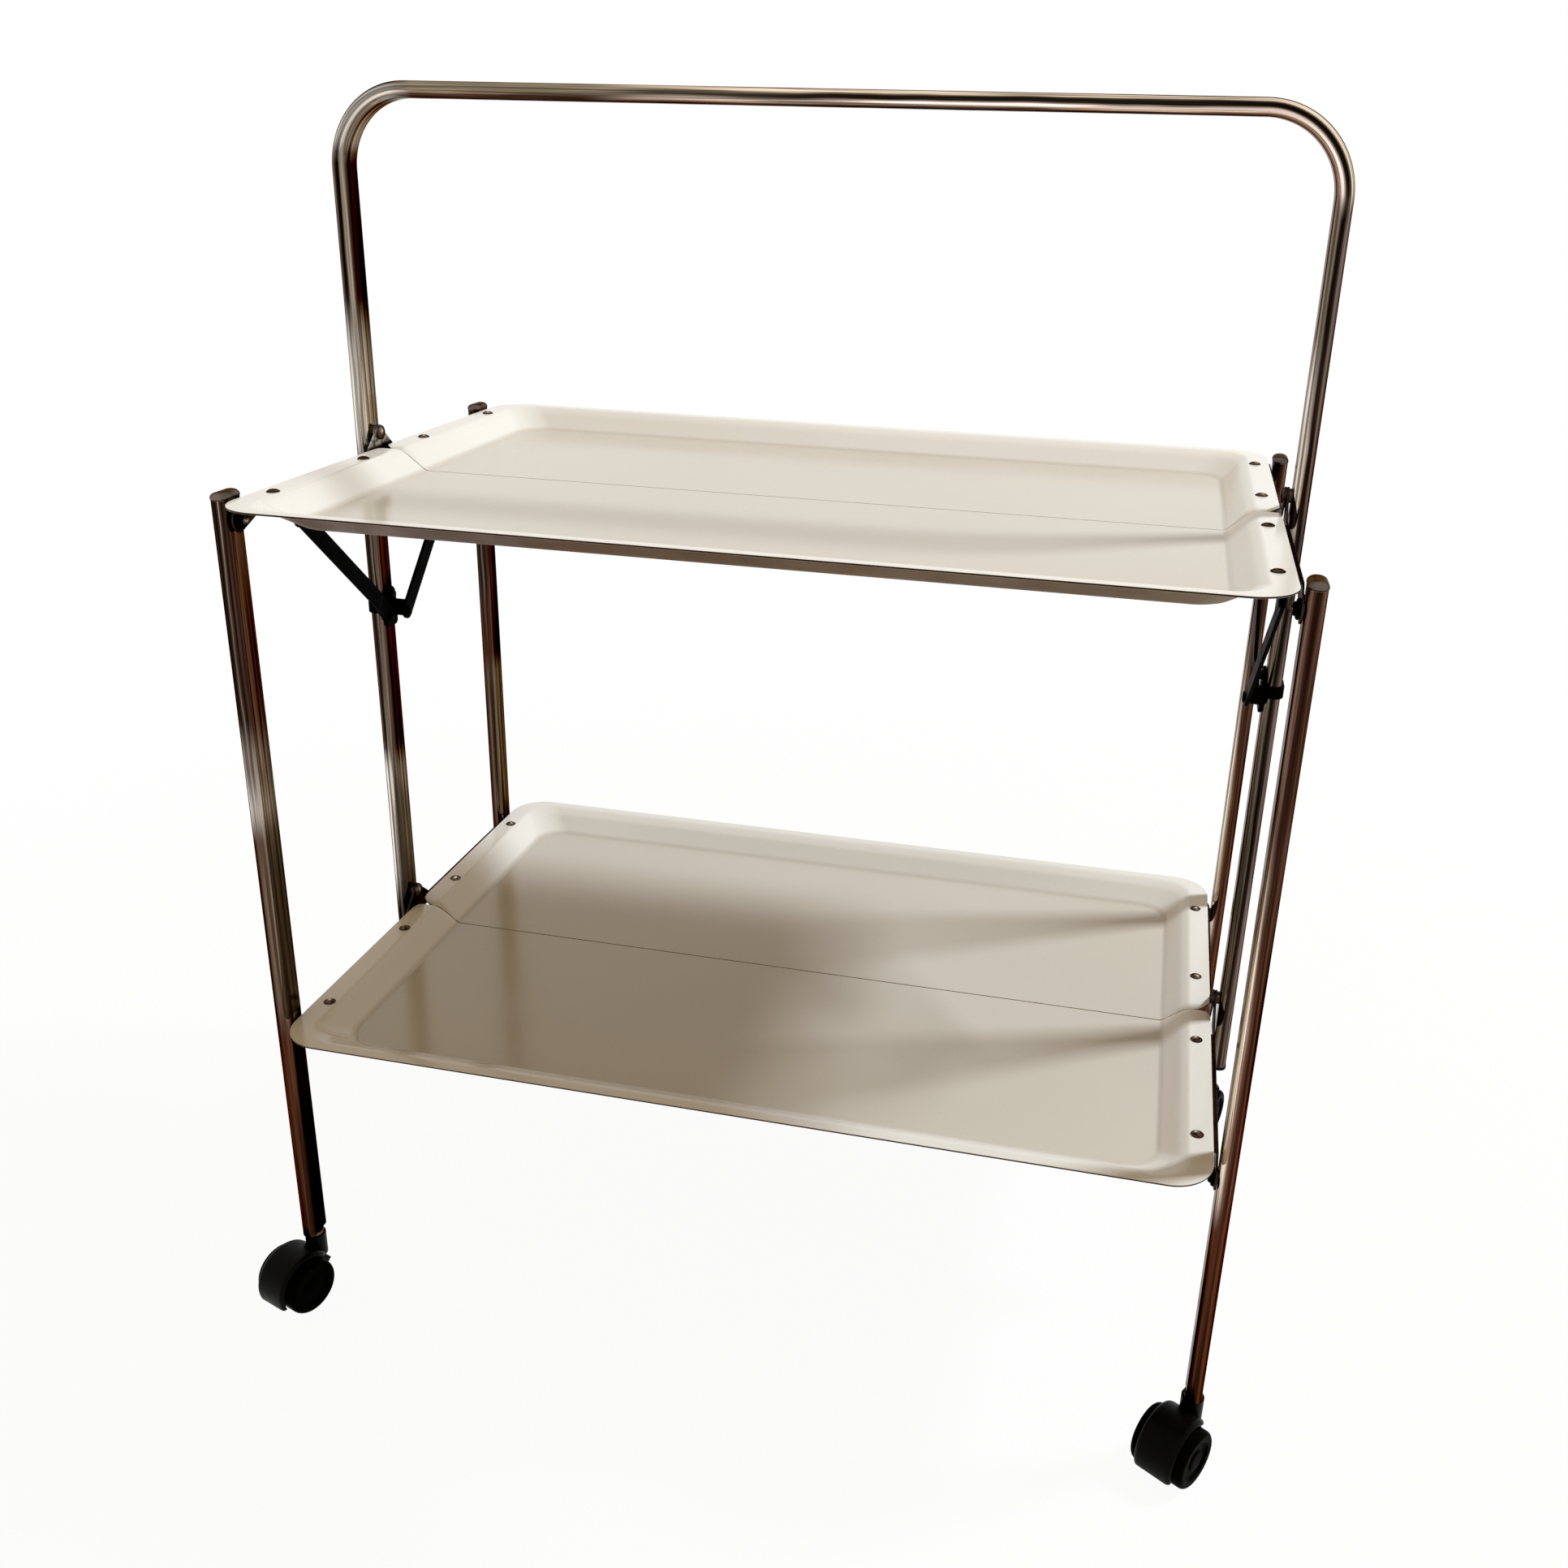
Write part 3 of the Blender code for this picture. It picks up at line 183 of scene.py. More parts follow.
# Outer face of a wheel: its rim by depth below the tread and depth sunk in, and its dish and hub by
# radius and depth sunk in.
WHEEL_RIM = ((0.0058, 0.0), (0.0066, 0.0002), (0.0071, 0.0010), (0.0076, 0.0013))
WHEEL_DISH = (
    (0.0120, 0.0016), (0.0080, 0.0015), (0.0074, 0.0013),
    (0.0070, 0.0007), (0.0062, 0.0004), (0.0020, 0.0003),
)
HOOD_RADIUS = 0.0246
HOOD_WALL = 0.00275
HOOD_HALF_WIDTH = 0.0136
HOOD_SHOULDER = (0.0035, 0.0022)
HOOD_STEPS = 48
HOOD_DEGREES = (-19.5, 149.8)
HOOD_TAPER_START = 118.0
HOOD_TAPER = 0.46
HOOD_HEEL_HEIGHT = 0.0091
HOOD_FRONT_HEIGHT = 0.0241
HOOD_BORE_FOOT = 0.0330
NECK_RADIUS = 0.0075
NECK_HEIGHTS = (0.0298, 0.0478)
STEM_RADIUS = 0.0040
STEM_FOOT = 0.0333
COLLAR_RADIUS = 0.0064
COLLAR_HEIGHTS = (0.0481, 0.0511)
COLLAR_CHAMFER = 0.0006
COLLAR_ROUNDING = 0.0010
STEM_IN_LEG = 0.0120
AXLE_HALF_LENGTH = 0.0153


# Mesh helpers


def arc(centre, radius, start, end, steps):
    """Points of an arc, with angles in degrees, anticlockwise from the first axis of its plane."""
    points = []
    for step in range(steps + 1):
        angle = math.radians(start + (end - start) * step / steps)
        points.append((centre[0] + radius * math.cos(angle), centre[1] + radius * math.sin(angle)))
    return points


def stadium(thickness, depth, steps=TUBE_STEPS):
    """Outline of a flat-oval section, thickness along X and depth along Y."""
    radius = thickness / 2
    offset = depth / 2 - radius
    return arc((0, offset), radius, 0, 180, steps) + arc((0, -offset), radius, 180, 360, steps)


def loft(rings):
    """Join rings of equal point count into a closed solid."""
    solid = bmesh.new()
    loops = [[solid.verts.new(point) for point in ring] for ring in rings]
    for lower, upper in zip(loops, loops[1:]):
        for index in range(len(lower)):
            following = (index + 1) % len(lower)
            solid.faces.new((lower[index], lower[following], upper[following], upper[index]))
    solid.faces.new(list(reversed(loops[0])))
    solid.faces.new(loops[-1])
    return solid


def prism(outline, start, end, axis="Z"):
    """Extrude a plane outline. Along X the outline is in Y and Z, and along Y it is in X and Z."""
    rings = []
    for level in (start, end):
        if axis == "X":
            rings.append([(level, first, second) for first, second in outline])
        elif axis == "Y":
            rings.append([(first, level, second) for first, second in outline])
        else:
            rings.append([(first, second, level) for first, second in outline])
    return loft(rings)


def turned(profile, sides, axis="Z"):
    """Turn a profile of radius and height pairs about an axis."""
    rings = []
    for radius, height in profile:
        ring = []
        for side in range(sides):
            angle = 2 * math.pi * side / sides
            across = radius * math.sin(angle)
            along = -radius * math.cos(angle)
            if axis == "X":
                ring.append((height, across, along))
            elif axis == "Y":
                ring.append((across, height, along))
            else:
                ring.append((across, along, height))
        rings.append(ring)
    return loft(rings)


def bored(profile, sides, axis):
    """Turn a profile round an axis into a ring, joining its last circle to its first."""
    ring = turned(profile, sides, axis)
    ring.verts.ensure_lookup_table()
    caps = [face for face in ring.faces if len(face.verts) == sides]
    bmesh.ops.delete(ring, geom=caps, context="FACES_ONLY")
    ring.verts.ensure_lookup_table()
    last = (len(profile) - 1) * sides
    for side in range(sides):
        following = (side + 1) % sides
        corners = (last + side, last + following, following, side)
        ring.faces.new([ring.verts[corner] for corner in corners])
    return ring


def dome(radius, foot, height, steps=6, flat_share=0.12):
    """Profile of a domed head that rises from its foot, from its rim to its crown."""
    profile = []
    for step in range(steps + 1):
        angle = math.pi / 2 * step / steps
        profile.append((max(radius * math.cos(angle), radius * flat_share), foot + height * math.sin(angle)))
    return profile


def box(low, high):
    """A box between two corners."""
    outline = [(low[0], low[1]), (high[0], low[1]), (high[0], high[1]), (low[0], high[1])]
    return prism(outline, low[2], high[2])


def rounded(steps):
    """Sine and one less cosine of each angle of a quarter turn."""
    pairs = []
    for step in range(steps + 1):
        angle = math.pi / 2 * step / steps
        pairs.append((math.sin(angle), 1 - math.cos(angle)))
    return pairs


def moved(solid, shift):
    """The same solid, shifted."""
    bmesh.ops.translate(solid, verts=solid.verts, vec=Vector(shift))
    return solid


def mirrored_front_to_rear(solid):
    """The same solid, mirrored from the front to the rear."""
    bmesh.ops.scale(solid, vec=(1, -1, 1), verts=solid.verts)
    bmesh.ops.reverse_faces(solid, faces=solid.faces)
    return solid


def gathered(solids):
    """Several separate solids as one."""
    group = bmesh.new()
    for solid in solids:
        mesh = bpy.data.meshes.new("gathered")
        bmesh.ops.recalc_face_normals(solid, faces=solid.faces)
        solid.to_mesh(mesh)
        solid.free()
        group.from_mesh(mesh)
        bpy.data.meshes.remove(mesh)
    return group


def combined(base, tool, operation):
    """The base solid with the tool solid cut from it (DIFFERENCE) or joined to it (UNION)."""
    items = []
    for solid in (base, tool):
        bmesh.ops.recalc_face_normals(solid, faces=solid.faces)
        mesh = bpy.data.meshes.new("blank")
        solid.to_mesh(mesh)
        solid.free()
        item = bpy.data.objects.new("blank", mesh)
        bpy.context.scene.collection.objects.link(item)
        items.append(item)
    modifier = items[0].modifiers.new("solid", "BOOLEAN")
    modifier.operation = operation
    modifier.solver = "EXACT"
    modifier.object = items[1]
    evaluated = items[0].evaluated_get(bpy.context.evaluated_depsgraph_get())
    result = bmesh.new()
    result.from_mesh(evaluated.to_mesh())
    evaluated.to_mesh_clear()
    for item in items:
        mesh = item.data
        bpy.data.objects.remove(item, do_unlink=True)
        bpy.data.meshes.remove(mesh)
    bmesh.ops.remove_doubles(result, verts=result.verts, dist=MELT_DISTANCE)
    return result


def drill(radius, start, end, axis, centre, sides=24):
    """A drill for a round hole along an axis, between two places on it."""
    return moved(turned(((radius, start), (radius, end)), sides, axis), centre)


def softened(solid, width, segments=2, degrees=SHARP_EDGE_DEGREES):
    """The same solid with its sharp edges rounded."""
    limit = math.radians(degrees)
    flat = math.radians(0.2)
    bmesh.ops.dissolve_limit(solid, angle_limit=flat, verts=solid.verts, edges=solid.edges)
    sharp = []
    for edge in solid.edges:
        if len(edge.link_faces) == 2 and edge.calc_face_angle(0.0) > limit:
            sharp.append(edge)
    bmesh.ops.bevel(
        solid, geom=sharp, offset=width, offset_type="OFFSET", segments=segments,
        profile=0.5, affect="EDGES", clamp_overlap=True,
    )
    return solid


def made_mesh(name, solid):
    """Turn a solid into a mesh with smooth round faces and sharp edges."""
    bmesh.ops.recalc_face_normals(solid, faces=solid.faces)
    mesh = bpy.data.meshes.new(name)
    solid.to_mesh(mesh)
    solid.free()
    mesh.shade_smooth()
    mesh.set_sharp_from_angle(angle=math.radians(SHARP_EDGE_DEGREES))
    return mesh


def piece(name, mesh, finish, body, nodes, place=HERE):
    """Show a copy of a mesh at its place, as a named piece that rides on a body and stands for CAD nodes."""
    own = mesh.copy()
    own.name = name
    own.transform(place)
    item = bpy.data.objects.new(name, own)
    bpy.context.scene.collection.objects.link(item)
    slot_name, materials = FINISHES[finish]
    for each in materials:
        own.materials.append(each)
    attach(item, body)
    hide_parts(*nodes)
    weighted = item.modifiers.new("normals", "WEIGHTED_NORMAL")
    weighted.keep_sharp = True
    return item


# Materials


def linear(level):
    """A screen level from 0 to 255 as a share of light."""
    share = level / 255
    return share / 12.92 if share <= 0.04045 else ((share + 0.055) / 1.055) ** 2.4


def shade(*levels):
    """A screen colour as shares of light."""
    return tuple(linear(level) for level in levels)


class Recipe:
    """The nodes of one material, added by short calls."""

    def __init__(self, name):
        self.material = bpy.data.materials.new(name)
        self.material.use_nodes = True
        self.tree = self.material.node_tree
        self.shader = self.tree.nodes["Principled BSDF"]
        self.place = self.add("ShaderNodeTexCoord").outputs["Object"]

    def add(self, kind, **settings):
        """A node of a kind, with its settings."""
        node = self.tree.nodes.new(kind)
        for key, value in settings.items():
            setattr(node, key, value)
        return node

    def feed(self, socket, value):
        """Link or set a socket."""
        if isinstance(value, bpy.types.NodeSocket):
            self.tree.links.new(value, socket)
        elif isinstance(value, tuple) and len(value) == 3 and socket.type == "RGBA":
            socket.default_value = (*value, 1.0)
        else:
            socket.default_value = value

    def stretched(self, scale):
        """Object coordinates scaled along each axis."""
        mapping = self.add("ShaderNodeMapping")
        self.feed(mapping.inputs["Vector"], self.place)
        mapping.inputs["Scale"].default_value = scale
        return mapping.outputs["Vector"]

    def noise(self, scale, detail=3.0, roughness=0.55, stretch=None, distortion=0.0):
        """Fractal noise, about 0.5."""
        node = self.add("ShaderNodeTexNoise")
        self.feed(node.inputs["Vector"], self.stretched(stretch) if stretch else self.place)
        node.inputs["Scale"].default_value = scale
        node.inputs["Detail"].default_value = detail
        node.inputs["Roughness"].default_value = roughness
        node.inputs["Distortion"].default_value = distortion
        return node.outputs["Fac"]

    def drawn(self, scale, along_share):
        """Noise drawn out along a tube, from its section's own coordinates."""
        turn, front, along = self.attribute("section")
        around = self.add("ShaderNodeCombineXYZ")
        self.feed(around.inputs[0], self.maths("MULTIPLY", turn, TUBE_HALF_ROUND))
        self.feed(around.inputs[1], front)
        self.feed(around.inputs[2], self.maths("MULTIPLY", along, along_share))
        node = self.add("ShaderNodeTexNoise")
        self.feed(node.inputs["Vector"], around.outputs["Vector"])
        node.inputs["Scale"].default_value = scale
        node.inputs["Detail"].default_value = 2.0
        node.inputs["Roughness"].default_value = 0.6
        return node.outputs["Fac"]

    def remap(self, value, low, high, new_low=0.0, new_high=1.0):
        """A value moved from one range to another, with soft ends."""
        node = self.add("ShaderNodeMapRange", interpolation_type="SMOOTHSTEP")
        self.feed(node.inputs["Value"], value)
        for key, number in (("From Min", low), ("From Max", high), ("To Min", new_low), ("To Max", new_high)):
            node.inputs[key].default_value = number
        return node.outputs["Result"]

    def maths(self, operation, first, second=0.0):
        """A math node."""
        node = self.add("ShaderNodeMath", operation=operation)
        self.feed(node.inputs[0], first)
        self.feed(node.inputs[1], second)
        return node.outputs["Value"]

    def blend(self, share, first, second):
        """A mix of two colours."""
        node = self.add("ShaderNodeMix", data_type="RGBA")
        self.feed(node.inputs["Factor"], share)
        self.feed(node.inputs[6], first)
        self.feed(node.inputs[7], second)
        return node.outputs[2]

    def scaled(self, colour, share):
        """A colour made darker or lighter by a share."""
        node = self.add("ShaderNodeVectorMath", operation="SCALE")
        self.feed(node.inputs[0], colour)
        self.feed(node.inputs["Scale"], share)
        return node.outputs["Vector"]

    def times(self, first, second):
        """Two values multiplied."""
        return self.maths("MULTIPLY", first, second)

    def stain(self, amount, share, tone, colour):
        """A tone with a share of a colour laid over it where an amount is high."""
        return self.blend(self.times(amount, share), tone, colour)

    def uneven(self, scale, detail, roughness, low, high, least, most):
        """Values from least to most that follow fractal noise between two of its levels."""
        return self.remap(self.noise(scale, detail, roughness), low, high, least, most)

    def edges(self, radius, low=0.02, high=0.22):
        """Nearly 1 along the sharp edges and 0 on open faces."""
        bevel = self.add("ShaderNodeBevel", samples=6)
        bevel.inputs["Radius"].default_value = radius
        geometry = self.add("ShaderNodeNewGeometry")
        dot = self.add("ShaderNodeVectorMath", operation="DOT_PRODUCT")
        self.feed(dot.inputs[0], bevel.outputs["Normal"])
        self.feed(dot.inputs[1], geometry.outputs["Normal"])
        away = self.maths("SUBTRACT", 1.0, dot.outputs["Value"])
        return self.remap(away, low, high)

    def soft_ramp(self, value, stops):
        """A ramp of four numbers along a value."""
        node = self.add("ShaderNodeValToRGB")
        elements = node.color_ramp.elements
        node.color_ramp.interpolation = "EASE"
        self.feed(node.inputs["Fac"], value)
        while len(elements) > 1:
            elements.remove(elements[-1])
        for index, (position, numbers) in enumerate(stops):
            stop = elements.new(position) if index else elements[0]
            stop.position = position
            stop.color = numbers
        return node

    def ramp(self, value, stops):
        """Colours along a value, written as they look on a screen, 0 to 255."""
        stops = [(position, (*shade(*colour), 1.0)) for position, colour in stops]
        return self.soft_ramp(value, stops).outputs["Color"]

    def weights(self, value, stops):
        """Weights along a value, three or four of them."""
        node = self.soft_ramp(value, [(position, (*shares, 1.0)[:4]) for position, shares in stops])
        split = self.add("ShaderNodeSeparateColor")
        self.feed(split.inputs[0], node.outputs["Color"])
        return split.outputs[0], split.outputs[1], split.outputs[2], node.outputs["Alpha"]

    def attribute(self, name):
        """The three numbers of a mesh attribute."""
        source = self.add("ShaderNodeAttribute", attribute_name=name)
        split = self.add("ShaderNodeSeparateXYZ")
        self.feed(split.inputs[0], source.outputs["Vector"])
        return split.outputs

    def places(self):
        """The three object coordinates."""
        split = self.add("ShaderNodeSeparateXYZ")
        self.feed(split.inputs[0], self.place)
        return split.outputs

    def bump(self, height, distance, strength=1.0):
        """A bump on the shader's normal."""
        node = self.add("ShaderNodeBump")
        self.feed(node.inputs["Height"], height)
        node.inputs["Distance"].default_value = distance
        node.inputs["Strength"].default_value = strength
        self.feed(self.shader.inputs["Normal"], node.outputs["Normal"])

    def finish(self, **sockets):
        """Set or link the shader's sockets."""
        for key, value in sockets.items():
            self.feed(self.shader.inputs[key.replace("_", " ")], value)
        return self.material


def enamel():
    """Glossy ivory stove enamel on sheet steel, with painted shade that darkens the pan, worn along its
    edges.
    """
    recipe = Recipe("ivory_enamel")
    drop = recipe.attribute("pan")[0]
    # Painted shade: the floor of the pan is darker than the flange.
    tone = recipe.blend(recipe.remap(drop, 0.80, 1.0), ENAMEL_RIM, ENAMEL_PAN_SHADE)
    clouds = recipe.uneven(3.0, 3.0, 0.5, 0.30, 0.72, 0.0, 0.35)
    tone = recipe.blend(clouds, tone, ENAMEL_AGED)
    specks = recipe.uneven(420.0, 2.0, 0.5, 0.73, 0.80, 0.0, 1.0)
    tone = recipe.stain(specks, 0.25, tone, ENAMEL_WORN)
    chips = recipe.uneven(55.0, 4.0, 0.55, 0.36, 0.62, 0.05, 0.75)
    tone = recipe.stain(recipe.edges(0.0009), chips, tone, ENAMEL_WORN)
    recipe.bump(recipe.noise(300.0, 1.0, 0.5), 0.00002, 0.35)
    return recipe.finish(
        Base_Color=tone, Roughness=recipe.uneven(12.0, 3.0, 0.5, 0.30, 0.75, 0.15, 0.20),
        Specular_IOR_Level=0.45,
    )


def enamel_underside():
    """The underside in painted shade: near black at the cut edge, dark brown below and paler to the right,
    where more light falls.
    """
    recipe = Recipe("ivory_enamel_underside")
    drop = recipe.attribute("pan")[0]
    along = recipe.places()[0]
    # Painted shade: darker at the left end of the tray than at the right.
    tone = recipe.blend(recipe.remap(along, -0.32, 0.32), UNDERSIDE_DEEP_SHADE, UNDERSIDE_LIGHT_SHADE)
    stains = recipe.uneven(14.0, 4.0, 0.6, 0.35, 0.70, 0.0, 0.5)
    tone = recipe.blend(stains, tone, UNDERSIDE_STAIN)
    # Painted shade: near black on the cut edge and dark under the flange.
    tone = recipe.blend(recipe.remap(drop, 0.02, 0.16), UNDERSIDE_EDGE_SHADE, tone)
    rubbed = recipe.uneven(90.0, 3.0, 0.55, 0.45, 0.65, 0.0, 0.4)
    tone = recipe.stain(recipe.edges(0.0006), rubbed, tone, ENAMEL_WORN)
    recipe.bump(recipe.noise(500.0, 2.0, 0.5), 0.00003, 0.4)
    return recipe.finish(
        Base_Color=tone, Roughness=recipe.uneven(30.0, 3.0, 0.55, 0.3, 0.7, 0.38, 0.52),
        Specular_IOR_Level=0.2, Specular_Tint=(0.45, 0.40, 0.35),
    )


def chrome(name, plan):
    """Chrome on drawn tube with painted reflections: long dark and light bands round its section that waver
    along it.
    """
    recipe = Recipe(name)
    turn, front, along = recipe.attribute("section")
    waver = recipe.add("ShaderNodeTexNoise", noise_dimensions="1D")
    recipe.feed(waver.inputs["W"], along)
    waver.inputs["Scale"].default_value = 9.0
    waver.inputs["Detail"].default_value = 2.0
    drift = recipe.remap(waver.outputs["Fac"], 0.25, 0.75, -0.035, 0.035)
    turned_by = recipe.maths("ADD", turn, drift)
    tone = plan(recipe, turned_by, along)
    # Painted shade on the rear part of each flat face.
    flat = recipe.remap(recipe.maths("ABSOLUTE", recipe.maths("SUBTRACT", turn, 0.5)), 0.485, 0.499)
    rear = recipe.remap(front, -0.0058, -0.0042, 0.75, 0.0)
    tone = recipe.stain(flat, rear, tone, shade(48, 30, 20))
    # Drawn streaks along the tube make the painted reflections lighter and darker.
    fine = recipe.remap(recipe.drawn(800.0, 0.012), 0.36, 0.64, 0.62, 1.30)
    broad = recipe.remap(recipe.drawn(300.0, 0.012), 0.40, 0.60, 0.50, 1.55)
    tone = recipe.scaled(tone, recipe.times(fine, broad))
    pits = recipe.uneven(1300.0, 2.0, 0.6, 0.68, 0.76, 0.0, 1.0)
    tone = recipe.stain(pits, 0.5, tone, shade(30, 18, 12))
    tone = recipe.stain(recipe.edges(0.0008), 0.6, tone, shade(150, 130, 112))
    scratches = recipe.drawn(900.0, 0.03)
    recipe.bump(recipe.maths("ADD", scratches, recipe.times(pits, -1.0)), 0.00002, 0.25)
    return recipe.finish(
        Base_Color=tone, Metallic=1.0, Specular_Tint=(0.22, 0.17, 0.13),
        Roughness=recipe.uneven(35.0, 4.0, 0.6, 0.30, 0.75, 0.08, 0.20),
    )


def frame_reflection_plan(recipe, turn, along):
    """Painted reflection bands of the centre frame: dark brown, with bright, streaked, pale and dull
    stretches along it.
    """
    bright, upright, pale, dull = recipe.weights(recipe.maths("DIVIDE", along, FRAME_PATH), FRAME_REFLECTION_ZONES)
    tone = recipe.blend(dull, recipe.ramp(turn, LEG_LEFT_REFLECTION_BANDS), recipe.ramp(turn, DULL_REFLECTION_BANDS))
    tone = recipe.blend(bright, tone, recipe.ramp(turn, BRIGHT_REFLECTION_BANDS))
    tone = recipe.blend(upright, tone, recipe.ramp(turn, UPRIGHT_REFLECTION_BANDS))
    at_right = recipe.remap(recipe.places()[0], -0.01, 0.01)
    light = recipe.blend(at_right, recipe.ramp(turn, PALE_REFLECTION_BANDS), recipe.ramp(turn, PALE_RIGHT_REFLECTION_BANDS))
    return recipe.blend(pale, tone, light)


def leg_reflection_plan(recipe, turn, along):
    """Painted reflection bands of the legs: brown below the lower tray and banded above it, in one way at
    each end.
    """
    upper, middle, pale, _ = recipe.weights(recipe.maths("DIVIDE", along, LEG_TOP), LEG_REFLECTION_ZONES)
    left = recipe.ramp(turn, LEG_BROWN_REFLECTION_BANDS)
    left = recipe.blend(upper, left, recipe.ramp(turn, LEG_LEFT_REFLECTION_BANDS))
    left = recipe.blend(middle, left, recipe.ramp(turn, LEG_MIDDLE_REFLECTION_BANDS))
    place_x, place_y, _ = recipe.places()
    at_front = recipe.remap(place_y, 0.01, -0.01)
    left = recipe.stain(pale, at_front, left, recipe.ramp(turn, PALE_REFLECTION_BANDS))
    # On the right legs a painted highlight runs up the inward side above the lower tray and fades higher up.
    over_tray = recipe.remap(along, RIMS["lower"] - 0.05, RIMS["lower"] + 0.01)
    fading = recipe.remap(along, RIMS["lower"] + 0.24, RIMS["lower"] + 0.08)
    right = recipe.ramp(turn, LEG_BROWN_REFLECTION_BANDS)
    right = recipe.blend(over_tray, right, recipe.ramp(turn, LEG_UPPER_RIGHT_REFLECTION_BANDS))
    right = recipe.stain(over_tray, fading, right, recipe.ramp(turn, LEG_RIGHT_HIGHLIGHT_BANDS))
    return recipe.blend(recipe.remap(place_x, -0.01, 0.01), left, right)


def metal(name, colour, shaded, worn, rough, ear_reflection=None):
    """Plated steel with mottled tarnish, rubbed edges and scratches. A painted reflection may brighten its
    hinge lugs above the upper tray at the left end.
    """
    recipe = Recipe(name)
    mottled = recipe.uneven(70.0, 5.0, 0.65, 0.32, 0.68, 0.0, 1.0)
    tone = recipe.blend(mottled, colour, shaded)
    if ear_reflection:
        # Painted reflection on the hinge lugs above the upper tray at the left end.
        along, _, height = recipe.places()
        over_tray = recipe.remap(height, RIMS["upper"] + 0.0005, RIMS["upper"] + 0.0030)
        at_left = recipe.remap(along, 0.01, -0.01)
        cloudy = recipe.uneven(260.0, 3.0, 0.6, 0.42, 0.58, 0.25, 1.0)
        tone = recipe.stain(recipe.times(over_tray, at_left), cloudy, tone, ear_reflection)
    spots = recipe.uneven(700.0, 3.0, 0.6, 0.62, 0.74, 0.0, 1.0)
    tone = recipe.stain(spots, GRIME_SHARE, tone, GRIME)
    patchy = recipe.uneven(160.0, 3.0, 0.55, 0.25, 0.6, 0.3, 0.9)
    tone = recipe.stain(recipe.edges(0.0006), patchy, tone, worn)
    recipe.bump(recipe.noise(1100.0, 3.0, 0.6, (1.0, 0.3, 1.0)), 0.00003, 0.4)
    return recipe.finish(
        Base_Color=tone, Metallic=1.0, Specular_Tint=(0.30, 0.25, 0.21),
        Roughness=recipe.uneven(90.0, 4.0, 0.6, 0.3, 0.7, rough, rough + 0.14),
    )


def domed_metal():
    """Worn chrome heads of rivets and pins, with painted shade at the sides and a painted highlight, a small
    bright spot off the crown.
    """
    recipe = Recipe("chrome_pin")
    across, up, _ = recipe.attribute("dome")
    span = recipe.add("ShaderNodeCombineXYZ")
    recipe.feed(span.inputs[0], recipe.maths("ADD", across, DOME_HIGHLIGHT_LEFT))
    recipe.feed(span.inputs[1], recipe.maths("SUBTRACT", up, DOME_HIGHLIGHT_UP))
    length = recipe.add("ShaderNodeVectorMath", operation="LENGTH")
    recipe.feed(length.inputs[0], span.outputs["Vector"])
    waver = recipe.uneven(600.0, 3.0, 0.6, 0.3, 0.7, -0.08, 0.08)
    # Painted highlight and shade in rings round the bright spot.
    tone = recipe.ramp(recipe.maths("ADD", length.outputs["Value"], waver), DOME_HIGHLIGHT_RINGS)
    pits = recipe.uneven(1500.0, 2.0, 0.6, 0.62, 0.72, 0.0, 0.6)
    tone = recipe.blend(pits, tone, shade(30, 20, 14))
    tone = recipe.stain(recipe.edges(0.0004), 0.35, tone, shade(128, 112, 98))
    recipe.bump(recipe.noise(1100.0, 3.0, 0.6), 0.00002, 0.3)
    return recipe.finish(
        Base_Color=tone, Metallic=1.0, Specular_Tint=(0.22, 0.17, 0.13),
        Roughness=recipe.uneven(90.0, 4.0, 0.6, 0.3, 0.7, 0.16, 0.30),
    )


def black_paint():
    """Black stoved paint on steel, rubbed to grey along the edges."""
    recipe = Recipe("black_steel")
    tone = recipe.blend(recipe.uneven(40.0, 4.0, 0.55, 0.3, 0.7, 0.0, 1.0), shade(3, 2, 2), shade(8, 6, 5))
    chips = recipe.uneven(220.0, 4.0, 0.6, 0.50, 0.66, 0.0, 0.4)
    tone = recipe.stain(recipe.edges(0.0006), chips, tone, shade(62, 50, 42))
    recipe.bump(recipe.noise(800.0, 3.0, 0.6), 0.00004, 0.4)
    return recipe.finish(
        Base_Color=tone, Roughness=recipe.uneven(60.0, 4.0, 0.55, 0.3, 0.7, 0.36, 0.50),
        Specular_IOR_Level=0.004, Specular_Tint=(0.50, 0.42, 0.36),
    )


def black_plastic(name, gloss):
    """Moulded black plastic with a fine grain, a little dust and scuffed edges."""
    recipe = Recipe(name)
    tone = recipe.blend(recipe.uneven(60.0, 4.0, 0.55, 0.3, 0.7, 0.0, 1.0), shade(2, 2, 2), shade(7, 6, 5))
    dust = recipe.uneven(500.0, 4.0, 0.7, 0.64, 0.76, 0.0, 0.10)
    tone = recipe.blend(dust, tone, shade(70, 66, 58))
    patchy = recipe.uneven(120.0, 4.0, 0.55, 0.40, 0.68, 0.0, 0.35)
    tone = recipe.stain(recipe.edges(0.0008), patchy, tone, shade(48, 45, 40))
    recipe.bump(recipe.noise(1400.0, 2.0, 0.5), 0.00003, 0.5)
    return recipe.finish(
        Base_Color=tone, Roughness=recipe.uneven(80.0, 4.0, 0.55, 0.3, 0.7, 0.32, 0.46),
        Specular_IOR_Level=gloss, Specular_Tint=(0.60, 0.58, 0.54),
    )


# Enamel colours, as shares of light.
ENAMEL_RIM = (0.83, 0.815, 0.785)
# The pan's colour holds painted shade.
ENAMEL_PAN_SHADE = (0.575, 0.53, 0.455)
ENAMEL_AGED = (0.70, 0.67, 0.61)
ENAMEL_WORN = (0.26, 0.17, 0.11)
